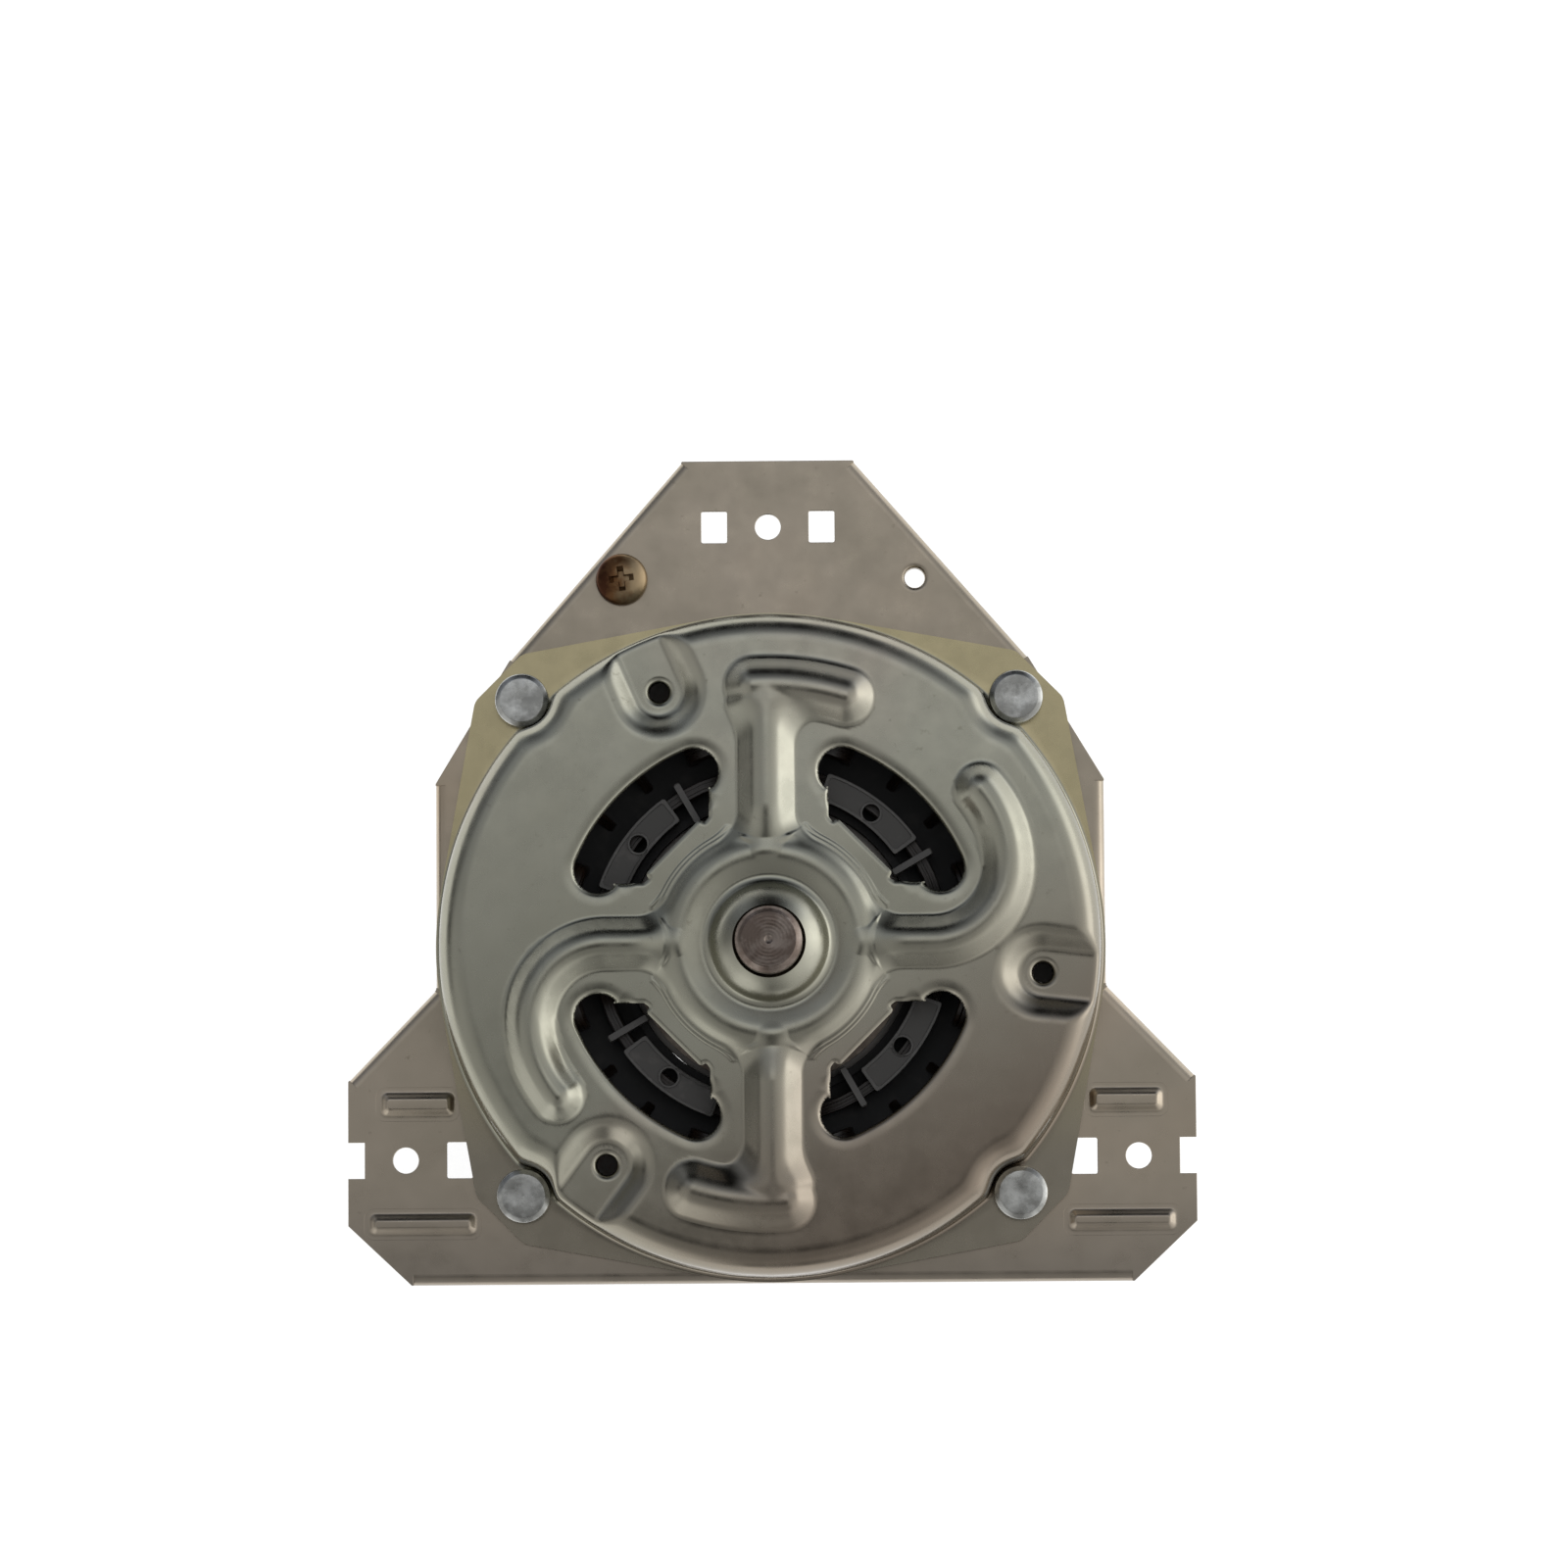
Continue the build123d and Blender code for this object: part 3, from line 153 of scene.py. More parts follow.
WINDOW_EDGE_MIDDLE = (20.1, 20.1)
WINDOW_SLOPE_DROP = 0.30
WINDOW_SLOPE_WIDTH = 2.8
WINDOW_CURL_DROP = 0.55
WINDOW_CURL_WIDTH = 0.85
WINDOW_INNER_CURL = 0.3
DIMPLE_RADIUS = 57.5
DIMPLE_ANGLES = (-6.6, 113.4, 233.4)
DIMPLE_TOP_RADIUS = 9.2
DIMPLE_FLOOR_RADIUS = 5.1
DIMPLE_DEPTH = 3.5
DIMPLE_FLOOR = DOME_RISE - DIMPLE_DEPTH
DIMPLE_ROUNDING = 1.6
DIMPLE_BLEND = 1.3
DIMPLE_HOLE_RADIUS = 2.05
DIMPLE_FUNNEL_RADIUS = 3.6
DIMPLE_COLLAR_DEPTH = 3.2
DIMPLE_COLLAR_WALL = 0.9
HOLE_CUT_RADIUS = DIMPLE_FUNNEL_RADIUS - 0.15
GROMMET_PLACE = 69.5
GROMMET_HOLE_REACH = 5.6

# Grid of the pressed cap: rays from the axis, and rows as a first radius, a last one and a step
RAY_COUNT = 720
CAP_ROWS = [(HOLE_RADIUS, 12.3, 0.35), (12.4, 14.8, 0.2), (15, 17.4, 0.6), (17.5, 22.8, 0.3),
            (22.9, 25.2, 0.14), (25.3, 30.7, 0.2), (30.8, 41, 0.4), (41.2, 47.4, 0.27)]
CAP_LAST_ROWS = [48, 48.7, 49.5, 50.5]

# End insulators, coils and the stack's seams
WALL_INNER = 30.7
WALL_OUTER = 32.3
PAD_INNER = 32.3
PAD_OUTER = 38.3
PAD_HOLE = 1.8
PAD_HOLE_PLACE = (35.0, 52.2)
SEAM_RADIUS = 59.15
SEAM_START = 0.3
SEAM_LENGTH = 31.4
SEAM_HALF_WIDTH = 1.05

# A stick is an angle, an inner and an outer radius and a height; a coil is the radii of its legs, the
# radii of its ends, its height over the stack, half its span in degrees and its rows of wires
STICKS = ((30.0, 29.9, 39.4, 9.9), (80.0, 33.0, 38.0, 7.0))
OUTER_COIL = ((41.6, 46.4), (46.8, 52.8), 13.0, 37.5, 4)
INNER_COIL = ((41.6, 46.4), (41.4, 45.8), 13.0, 22.5, 4)
AUXILIARY_COIL = ((34.8, 38.2), (34.8, 38.2), 7.2, 37.5, 3)
MAIN_WIRE = 0.62
AUXILIARY_WIRE = 0.5
WIRE_SPREAD = 1.82

# Sections of turned and moulded parts as (radius, height), and the screw's recess as levels with a
# height, a length and a width
FELT_CORNERS = [(14.3, 12.2), (18.8, 15.4), (18.8, 18.2), (14.3, 18.2)]
GROMMET_CORNERS = [(3.0, -2.65), (6.8, -2.65), (6.8, -1.05), (4.9, -1.05), (4.9, 1.05), (6.8, 1.05),
                   (6.8, 2.65), (4.9, 2.65), (4.4, 7.65), (3.0, 7.65)]
GROMMET_ROUNDING = [0.3, 0.7, 0.4, 0.2, 0.2, 0.4, 0.7, 0.6, 0.5, 0.3]
SCREW_CORNERS = [(0, 3.2), (3.2, 3.0), (5.5, 1.6), (5.5, 0.05), (2.45, 0.05), (2.45, -8.0), (0, -8.0)]
RECESS_LEVELS = ((1.5, 3.2, 1.0), (2.6, 4.8, 1.24), (3.6, 6.2, 1.6))
RECESS_TURN = 38

# Shaft
SHAFT_TOP = 33.5
SHAFT_SHOULDER = -62.1
SHAFT_BOTTOM = -96.1
JOURNAL_RADIUS = 7.0
CORE_SEAT_RADIUS = 8.0
CORE_SEAT_ENDS = (-38.4, 4.0)
DRIVE_RADIUS = 6.0
DRIVE_FLAT = 5.0

# Plate
MOUNT_SPACING = 155.0
MOUNT_HOLE_RADIUS = 2.75
MOUNT_TOP = MOUNT_SPACING / math.sqrt(3)
MOUNT_LOW = -MOUNT_TOP / 2
PLATE_OPENING_RADIUS = 61.0
LIP_DEPTH = 8.0
LIP_BEND_RADIUS = 2.0
LIP_END_RELIEF = 0.4
BEAD_CORNER = 1.4
BEAD_HEIGHT = 1.1
BEAD_FLANK = 1.7
EARTH_PLACE = (31.2, MOUNT_TOP - 11.1)
EARTH_BORE = 2.55
FOOT_REACH = 12.2
LUG_OFFSET = 11.45
SHEET_EDGE = 0.12
# The plate's edges are counted clockwise from the right end of its top edge
LIPPED_EDGES = {0, 2, 3, 6, 9, 10, 12}
NOTCHED_EDGES = {4, 8}

# Surfaces and surroundings. The lights stand LIGHT_DISTANCE metres away. A sky lobe is an azimuth, a
# tilt from straight up, an inner and an outer angle, all in degrees, and a strength.
NOISE_ROUGHNESS = 0.6
GRIME_SHARES = (0.45, 0.42, 0.38)
# Direction of the painted shade that darkens the cap towards the lower right
SHADED_SIDE_ANGLE = -58.0
SCREW_TONE_SPAN = 1.6
FLOOR_WIDTH = 8000.0
FLOOR_GAP = 0.2
FLOOR_COLOUR = (0.45, 0.45, 0.45)
FLOOR_GLOW = 0.78
LIGHT_DISTANCE = 1.7
WHITE = (1.0, 1.0, 1.0)
SKY_BASE = 0.424
SKY_LOBES = [
    (0, 90, 5, 45, 0.60),
    (0, 70, 10, 60, 0.14),
    (20, 85, 5, 35, 0.78),
    (335, 70, 5, 45, 0.24),
    (240, 88, 5, 30, 0.49),
    (240, 75, 5, 35, 0.11),
    (205, 60, 5, 45, 0.14),
    (300, 72, 5, 35, 0.17),
    (275, 85, 5, 25, -0.28),
    (270, 40, 5, 40, -0.14),
    (95, 62, 10, 36, -0.30),
    (95, 74, 4, 24, -0.14),
    (150, 75, 5, 35, -0.22),
    (60, 65, 5, 30, -0.15),
    (90, 13, 3, 18, 0.34),
    (265, 8, 2, 18, -0.35),
    (180, 50, 5, 40, -0.09),
    (205, 85, 3, 14, 0.40),
    (178, 74, 3, 14, -0.22),
    (48, 83, 3, 16, 0.35),
    (0, 30, 5, 40, 0.12),
]
SKY_BLUE_LOBE = (100, 72, 15, 75, 1.0)
SKY_BLUE = (0.90, 0.97, 1.12)
HORIZON_START = 84.0
HORIZON_END = 91.0


def polar(radius, angle):
    """A point at a radius and an angle in degrees."""
    return radius * math.cos(math.radians(angle)), radius * math.sin(math.radians(angle))


def rounded(points, radii, step=12.0):
    """A polyline whose inner corners become arcs, a point every step degrees."""
    path = [tuple(points[0])]
    for before, corner, after, radius in zip(points, points[1:], points[2:], radii):
        before, corner, after = Vector(before), Vector(corner), Vector(after)
        back = (before - corner).normalized()
        ahead = (after - corner).normalized()
        half = back.angle(ahead) / 2
        if radius <= 0 or half > math.radians(89.5):
            path.append(tuple(corner))
            continue
        centre = corner + (back + ahead).normalized() * radius / math.sin(half)
        start = corner + back * radius / math.tan(half) - centre
        end = corner + ahead * radius / math.tan(half) - centre
        sweep = start.angle(end)
        count = max(2, round(math.degrees(sweep) / step))
        turn = sweep if start.x * end.y - start.y * end.x > 0 else -sweep
        for index in range(count + 1):
            a = turn * index / count
            x = start.x * math.cos(a) - start.y * math.sin(a)
            y = start.x * math.sin(a) + start.y * math.cos(a)
            path.append((centre.x + x, centre.y + y))
    path.append(tuple(points[-1]))
    return path


def rounded_loop(points, radii, step=12.0):
    """A closed outline with every corner rounded."""
    count = len(points)
    middle = (Vector(points[-1]) + Vector(points[0])) / 2
    opened = [tuple(middle)] + [tuple(p) for p in points] + [tuple(middle)]
    return rounded(opened, radii[:count], step)[:-1]


# Making objects


def link_object(name, data):
    """A new object in the scene."""
    obj = bpy.data.objects.new(name, data)
    bpy.context.scene.collection.objects.link(obj)
    return obj


def make_mesh(name, verts, faces):
    """A mesh from vertices in millimetres."""
    mesh = bpy.data.meshes.new(name)
    mesh.from_pydata((np.asarray(verts, dtype=float) * MM).tolist(), [], faces)
    return mesh


def dress(obj, key, sharp, node=None, body=STATIC):
    """Gives an object its material, shading and body, and hides the CAD node it stands in for."""
    obj.data.materials.clear()
    obj.data.materials.append(MATERIALS[key])
    smooth_by_angle(obj.data, sharp)
    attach(obj, body)
    if node:
        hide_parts(node)
    return obj


def smooth_by_angle(mesh, sharp):
    """Smooth shading with sharp edges over an angle in degrees."""
    mesh.update()
    mesh.polygons.foreach_set("use_smooth", [True] * len(mesh.polygons))
    mesh.set_sharp_from_angle(angle=math.radians(sharp))


def settle(obj, sharp):
    """Replaces an object's mesh with what its modifiers give."""
    depsgraph = bpy.context.evaluated_depsgraph_get()
    mesh = bpy.data.meshes.new_from_object(obj.evaluated_get(depsgraph))
    obj.modifiers.clear()
    obj.data = mesh
    smooth_by_angle(mesh, sharp)


def thicken(obj, thickness):
    """Gives a surface the thickness of its sheet, on its inner side."""
    solid = obj.modifiers.new("sheet", "SOLIDIFY")
    solid.thickness = thickness * MM
    solid.offset = -1
    settle(obj, 40)


def cut_from(obj, verts, faces):
    """Takes a closed shape out of an object."""
    tool = link_object("cutter", make_mesh("cutter", verts, faces))
    modifier = obj.modifiers.new("cut", "BOOLEAN")
    modifier.object = tool
    modifier.solver = "EXACT"
    settle(obj, 35)
    bpy.data.objects.remove(tool)


class Parts:
    """Vertices and faces of several shapes that make one object."""

    def __init__(self):
        self.verts = []
        self.faces = []

    def add(self, verts, faces, matrix=None):
        """Adds a shape, moved by a matrix."""
        start = len(self.verts)
        for vert in verts:
            place = Vector(vert)
            self.verts.append(tuple(matrix @ place) if matrix else tuple(place))
        self.faces.extend([[start + index for index in face] for face in faces])

    def make(self, name, key, sharp, node=None, body=STATIC):
        """The object that holds all the shapes."""
        mesh = make_mesh(name, self.verts, self.faces)
        return dress(link_object(name, mesh), key, sharp, node, body)


def at(x=0.0, y=0.0, z=0.0, turn=0.0):
    """A move in millimetres after a turn about Z in degrees."""
    return Matrix.Translation((x, y, z)) @ Matrix.Rotation(math.radians(turn), 4, "Z")


LOWER = Matrix.Translation((0, 0, STACK_BOTTOM)) @ Matrix.Rotation(math.pi, 4, "Y")


def lathe(profile, segments):
    """A closed or axis-ended (radius, height) profile turned about Z."""
    count = len(profile)
    total = segments * count
    closed = min(profile[0][0], profile[-1][0]) > ON_AXIS
    verts = [(*polar(r, 360 * index / segments), z) for index in range(segments) for r, z in profile]
    faces = []
    for here in range(0, total, count):
        there = (here + count) % total
        for j in range(count if closed else count - 1):
            k = (j + 1) % count
            corners = [here + j, there + j, there + k, here + k]
            if profile[j][0] < ON_AXIS:
                corners.pop(1)
            elif profile[k][0] < ON_AXIS:
                corners.pop(2)
            faces.append(corners)
    return verts, faces


def loft(loops, cap_ends=False, closed_path=False):
    """Faces between loops of the same number of points."""
    count = len(loops[0])
    total = len(loops) * count
    faces = []
    for here in range(0, total if closed_path else total - count, count):
        there = (here + count) % total
        for j in range(count):
            k = (j + 1) % count
            faces.append([here + j, here + k, there + k, there + j])
    if cap_ends:
        faces.append(list(range(count))[::-1])
        faces.append(list(range(total - count, total)))
    return [tuple(point) for loop in loops for point in loop], faces


def prism(outline, low, high, edge=0.0):
    """A flat outline between two heights, with its upper edge chamfered."""
    loops = [[(x, y, z) for x, y in outline] for z in (low, high - edge)]
    if edge > 0:
        centre = sum((Vector(point) for point in outline), Vector((0, 0))) / len(outline)
        away = [Vector(point) - centre for point in outline]
        inner = [centre + arm * max(0.0, 1 - edge / arm.length) for arm in away]
        loops.append([(point.x, point.y, high) for point in inner])
    return loft(loops, cap_ends=True)


def box_points(x, y, width, height, corner=0.0):
    """A rectangle round a point, with round corners where a radius is given."""
    w, h = width / 2, height / 2
    points = [(x - w, y - h), (x + w, y - h), (x + w, y + h), (x - w, y + h)]
    return rounded_loop(points, [corner] * 4, 30) if corner else points


def circle_points(x, y, radius, count=48):
    """A ring of points."""
    ring = (polar(radius, 360 * index / count) for index in range(count))
    return [(x + dx, y + dy) for dx, dy in ring]


# Materials


class Nodes:
    """A node tree with short ways to add its nodes and to join them."""

    def __init__(self, tree):
        self.tree = tree

    def add(self, kind, inputs=None, **settings):
        """A node with its settings by name and its inputs, each linked or set."""
        node = self.tree.nodes.new("ShaderNode" + kind)
        for name, value in settings.items():
            setattr(node, name, value)
        for name, value in (inputs or {}).items():
            self.put(node.inputs[name], value)
        return node

    def put(self, socket, value):
        """Gives a socket a link, a number, a vector or a colour."""
        if isinstance(value, bpy.types.NodeSocket):
            self.tree.links.new(value, socket)
        elif socket.type == "RGBA":
            socket.default_value = (*value, 1)
        else:
            socket.default_value = value

    def place(self, stretch=(1, 1, 1)):
        """Object coordinates stretched by a factor for each axis."""
        place = self.add("TexCoord").outputs["Object"]
        return self.add("Mapping", {"Vector": place, "Scale": stretch}).outputs["Vector"]

    def noise(self, scale, detail, stretch=(1, 1, 1)):
        """A noise value whose grains are 1/scale metres wide."""
        inputs = {"Scale": scale, "Detail": detail, "Roughness": NOISE_ROUGHNESS}
        inputs["Vector"] = self.place(stretch)
        return self.add("TexNoise", inputs).outputs["Fac"]

    def ramp(self, value, stops):
        """Colours or greys along a value."""
        node = self.add("ValToRGB", {"Fac": value})
        elements = node.color_ramp.elements
        while len(elements) < len(stops):
            elements.new(0.5)
        for element, (position, colour) in zip(elements, stops):
            element.position = position
            element.color = (*colour, 1) if isinstance(colour, tuple) else (colour, colour, colour, 1)
        return node.outputs["Color"]

    def spots(self, scale, detail, low, high, most=1.0):
        """Spots where a noise value passes from low to high."""
        return self.ramp(self.noise(scale, detail), [(low, 0.0), (high, most)])

    def mix(self, factor, first, second):
        """Two colours mixed by a value."""
        return self.add("Mix", {0: factor, 6: first, 7: second}, data_type="RGBA").outputs[2]

    def math(self, operation, first, second):
        """One value from two."""
        return self.add("Math", {0: first, 1: second}, operation=operation).outputs[0]

    def between(self, value, low, high, smallest=0.0, largest=1.0, kind="LINEAR"):
        """A value mapped from low..high to smallest..largest and held there."""
        inputs = {"Value": value, "From Min": low, "From Max": high}
        inputs.update({"To Min": smallest, "To Max": largest})
        return self.add("MapRange", inputs, interpolation_type=kind).outputs["Result"]

    def dot(self, vector, other):
        """The dot product of a vector with a fixed one."""
        return self.add("VectorMath", {0: vector, 1: other}, operation="DOT_PRODUCT").outputs["Value"]

    def across(self, vector):
        """The length of a vector's part in the XY plane."""
        flat = self.add("VectorMath", {0: vector, 1: (1, 1, 0)}, operation="MULTIPLY").outputs["Vector"]
        return self.add("VectorMath", {0: flat}, operation="LENGTH").outputs["Value"]

    def metal_sees(self):
        """1 for rays that metal or glass sends out."""
        path = self.add("LightPath")
        return self.math("MAXIMUM", path.outputs["Is Glossy Ray"], path.outputs["Is Transmission Ray"])


class Surface(Nodes):
    """The nodes of a material round its main shader."""

    def __init__(self, name):
        self.material = bpy.data.materials.new(name)
        self.material.use_nodes = True
        super().__init__(self.material.node_tree)
        self.shader = self.tree.nodes["Principled BSDF"]

    def finish(self, colour, roughness, layers=(), **more):
        """Sets the shader, with bump layers as (height value, strength, distance in millimetres)."""
        inputs = {"Base Color": colour, "Roughness": roughness}
        inputs.update({name.replace("_", " "): value for name, value in more.items()})
        for height, strength, distance in layers:
            bump = {"Strength": strength, "Distance": distance * MM, "Height": height}
            if "Normal" in inputs:
                bump["Normal"] = inputs["Normal"]
            inputs["Normal"] = self.add("Bump", bump).outputs["Normal"]
        for name, value in inputs.items():
            self.put(self.shader.inputs[name], value)
        return self.material


def sheet_steel(name, low, high, tint, roughness, zones):
    """Rolled zinc-coated sheet: cloudy patches of colour, fine grain and faint scratches."""
    surface = Surface(name)
    colour = surface.ramp(surface.noise(22, 4), [(0.36, low), (0.64, high)])
    stain = surface.spots(11, 3, 0.52, 0.72)
    colour = surface.mix(stain, colour, tint)
    grime = surface.spots(420, 3, 0.66, 0.76, 0.35)
    dirt = tuple(part * share for part, share in zip(low, GRIME_SHARES))
    colour = zones(surface, surface.mix(grime, colour, dirt))
    shine = surface.ramp(surface.noise(160, 5), [(0.3, roughness - 0.05), (0.7, roughness + 0.08)])
    waves = surface.noise(30, 2)
    grain = surface.noise(900, 3, (1, 0.12, 1))
    marks = surface.ramp(surface.noise(300, 2, (1, 0.06, 1)), [(0.62, 0.0), (0.66, 1.0)])
    layers = [(waves, 0.5, 0.12), (grain, 0.10, 0.02), (marks, 0.25, 0.01)]
    return surface.finish(colour, shine, layers, Metallic=1.0)


def cap_zones(surface, colour):
    """Flange yellow to grey; browner painted shade to the lower right; painted shade on walls, painted
    shadow on cut edges.
    """
    coordinates = surface.add("TexCoord")
    place = coordinates.outputs["Object"]
    # Painted shade: the cap turns darker and browner towards the lower right
    x, y = polar(1.0, SHADED_SIDE_ANGLE)
    brown = surface.between(surface.dot(place, (x, y, 0)), 8 * MM, 60 * MM)
    colour = surface.mix(brown, colour, (0.29, 0.24, 0.19))
    rim = FLANGE_RADIUS * MM
    flange = surface.between(surface.across(place), rim - 0.4 * MM, rim + 0.1 * MM)
    south = surface.between(surface.dot(place, (0, -1, 0)), 0, 45 * MM)
    tint = surface.mix(south, (0.55, 0.48, 0.29), (0.35, 0.315, 0.25))
    colour = surface.mix(flange, colour, tint)
    side = surface.across(coordinates.outputs["Normal"])
    # Painted shade: the steep walls are darkened in colour
    colour = surface.mix(surface.between(side, 0.55, 0.9, 0, 0.35), colour, (0.24, 0.235, 0.195))
    # Painted shadow: the flange's cut edge is nearly black, standing for the contact shadow under it
    edge = surface.math("MULTIPLY", flange, surface.between(side, 0.7, 0.9))
    return surface.mix(edge, colour, (0.08, 0.06, 0.04))


def plate_zones(surface, colour):
    """Darker towards the plate's lower edge."""
    place = surface.add("TexCoord").outputs["Object"]
    south = surface.between(surface.dot(place, (0, -1, 0)), 48 * MM, 74 * MM, 0, 0.85)
    return surface.mix(south, colour, (0.33, 0.29, 0.245))


def plain_metal(name, colour, dark, roughness, rings=False, grain=600):
    """Turned or plated metal with a little dirt; rings adds turning marks about Z."""
    surface = Surface(name)
    patches = surface.spots(260, 4, 0.42, 0.62)
    shine = surface.ramp(surface.noise(500, 3), [(0.3, roughness - 0.06), (0.7, roughness + 0.1)])
    layers = [(surface.noise(grain, 3), 0.15, 0.02)]
    if rings:
        inputs = {"Scale": 420, "Distortion": 0.6, "Vector": surface.place()}
        wave = surface.add("TexWave", inputs, wave_type="RINGS", rings_direction="Z")
        layers.append((wave.outputs["Fac"], 0.35, 0.03))
    return surface.finish(surface.mix(patches, dark, colour), shine, layers, Metallic=1.0)


def laminations():
    """Stacked sheet edges: fine lines across Z with uneven shades and rust spots."""
    surface = Surface("lamination_edges")
    inputs = {"Scale": 314, "Distortion": 0.05, "Detail Scale": 30, "Vector": surface.place()}
    lines = surface.add("TexWave", inputs, bands_direction="Z").outputs["Fac"]
    sheets = surface.noise(900, 2, (0.003, 0.003, 1))
    colour = surface.ramp(sheets, [(0.35, (0.12, 0.11, 0.105)), (0.65, (0.30, 0.285, 0.27))])
    rust = surface.spots(70, 5, 0.60, 0.74, 0.7)
    colour = surface.mix(rust, colour, (0.16, 0.07, 0.035))
    layers = [(lines, 0.7, 0.12), (surface.noise(500, 3), 0.2, 0.05)]
    return surface.finish(colour, 0.75, layers, Metallic=0.3)


def moulded(name, colour, worn, roughness):
    """Moulded plastic or rubber with a soft grain and lighter worn spots."""
    surface = Surface(name)
    wear = surface.spots(240, 5, 0.55, 0.75)
    layers = [(surface.noise(1500, 3), 0.25, 0.02)]
    return surface.finish(surface.mix(wear, colour, worn), roughness, layers)


def enamel():
    """Varnished winding wire, nearly black: partly its real dark wrapping, partly painted shade."""
    surface = Surface("varnished_wire")
    # Partly painted shade: the near-black colour also stands for the deep shade round the windings
    shades = [(0.3, (0.004, 0.003, 0.002)), (0.7, (0.012, 0.006, 0.003))]
    colour = surface.ramp(surface.noise(120, 4), shades)
    layers = [(surface.noise(900, 2), 0.2, 0.03)]
    return surface.finish(colour, 0.38, layers, Coat_Weight=0.4, Coat_Roughness=0.25)


def felt_wool():
    """Pressed felt with short fibres."""
    surface = Surface("felt_wool")
    fibres = surface.noise(1400, 6)
    colour = surface.ramp(fibres, [(0.3, (0.34, 0.30, 0.22)), (0.7, (0.62, 0.56, 0.43))])
    return surface.finish(colour, 0.95, [(fibres, 0.8, 0.25)], Sheen_Weight=0.4)


def rusty_screw():
    """Bronze-toned rusty screw, its colour going from dark brown on its left to tan gold on its right."""
    surface = Surface("rusty_screw")
    along_x = surface.dot(surface.add("TexCoord").outputs["Object"], (1, 0, 0))
    across = surface.between(along_x, (-EARTH_PLACE[0] - 4.0) * MM, (-EARTH_PLACE[0] + 4.5) * MM)
    uneven = surface.math("ADD", surface.math("MULTIPLY", surface.noise(420, 4), 0.9), across)
    stops = [(0.45, (0.06, 0.022, 0.010)), (0.8, (0.17, 0.085, 0.035)), (1.2, (0.36, 0.27, 0.16))]
    stops = [(position / SCREW_TONE_SPAN, colour) for position, colour in stops]
    colour = surface.ramp(surface.math("DIVIDE", uneven, SCREW_TONE_SPAN), stops)
    return surface.finish(colour, 0.36, [(surface.noise(700, 4), 0.35, 0.06)], Metallic=0.9)


MATERIALS = {
    "cap": sheet_steel("cap_sheet", (0.385, 0.378, 0.305), (0.45, 0.443, 0.365), (0.42, 0.365, 0.30),
                       0.24, cap_zones),
    "plate": sheet_steel("plate_sheet", (0.44, 0.385, 0.30), (0.55, 0.475, 0.38), (0.50, 0.41, 0.30),
                         0.30, plate_zones),
    "zinc": plain_metal("bright_zinc", (0.62, 0.625, 0.60), (0.36, 0.36, 0.34), 0.26),
    "spring": plain_metal("spring_steel", (0.30, 0.29, 0.28), (0.17, 0.16, 0.15), 0.36),
    "shaft": plain_metal("turned_steel", (0.28, 0.235, 0.205), (0.16, 0.125, 0.105), 0.30, rings=True),
    "bronze": plain_metal("sintered_bronze", (0.44, 0.30, 0.17), (0.30, 0.19, 0.10), 0.45),
    "aluminium": plain_metal("cast_aluminium", (0.46, 0.40, 0.34), (0.30, 0.25, 0.21), 0.55, grain=250),
    "stack": laminations(),
    "plastic": moulded("black_moulding", (0.006, 0.006, 0.006), (0.014, 0.013, 0.012), 0.6),
    "pads": moulded("grey_black_moulding", (0.041, 0.039, 0.036), (0.065, 0.06, 0.056), 0.45),
    "borders": moulded("grey_moulded_edges", (0.055, 0.053, 0.05), (0.09, 0.085, 0.08), 0.4),
    "rubber": moulded("black_rubber", (0.012, 0.012, 0.012), (0.03, 0.03, 0.03), 0.62),
    "fibre": moulded("pressed_fibre", (0.42, 0.32, 0.18), (0.55, 0.45, 0.30), 0.7),
    "wire": enamel(),
    "felt": felt_wool(),
    "screw": rusty_screw(),
}

NODE_MATERIALS = {
    "upper_bearing_bush": "bronze", "lower_bearing_bush": "bronze", "upper_bearing_retainer": "cap",
    "lower_bearing_retainer": "cap", "stator_core": "stack", "slot_wedges": "fibre",
    "thermal_cutout": "plastic", "rotor_core": "stack", "rotor_cage": "aluminium",
    "shaft_circlips": "spring", "thrust_washers": "fibre",
}


def dress_cad_nodes():
    """Gives each CAD node that stays its own material."""
    for node, key in NODE_MATERIALS.items():
        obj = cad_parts[node]
        obj.data.materials.clear()
        obj.data.materials.append(MATERIALS[key])


# End cap as a pressed sheet: a height over each point, on rays from the shaft's axis


def smooth_least(a, b, k):
    """The lesser of two values, blended where they are within k."""
    blend = np.maximum(k - np.abs(a - b), 0) / np.maximum(k, 1e-6)
    return np.minimum(a, b) - blend * blend * k / 4


def ease(low, high, value):
    """A soft step from 0 at low to 1 at high."""
    t = np.clip((value - low) / (high - low), 0, 1)
    return t * t * (3 - 2 * t)


def along(profile, value):
    """A (place, height) profile read at an array of places."""
    places, heights = zip(*sorted(profile))
    return np.interp(value, places, heights)


def arch_profile(width, top_radius):
    """Half section of a pressed rib, rounded on top and at its foot."""
    half = width / 2
    low, high = math.radians(20), math.radians(70)
    for _ in range(40):
        slope = (low + high) / 2
        apex = half * math.tan(slope)
        if apex - top_radius * (1 / math.cos(slope) - 1) < RIB_HEIGHT:
            low = slope
        else:
            high = slope
    points = [(-half, 0), (0, apex), (half, 0), (half + 5, 0)]
    return [(x, z) for x, z in rounded(points, [top_radius, RIB_FOOT_RADIUS], 6) if x >= 0]


def dome_profile():
    """Height of the dome against the distance inward from its foot."""
    run = (DOME_RISE - CAP_SHEET) * math.tan(math.radians(DOME_DRAFT))
    points = [(-20, CAP_SHEET), (0, CAP_SHEET), (run, DOME_RISE), (80, DOME_RISE)]
    return rounded(points, [DOME_FOOT, DOME_CORNER], 9)


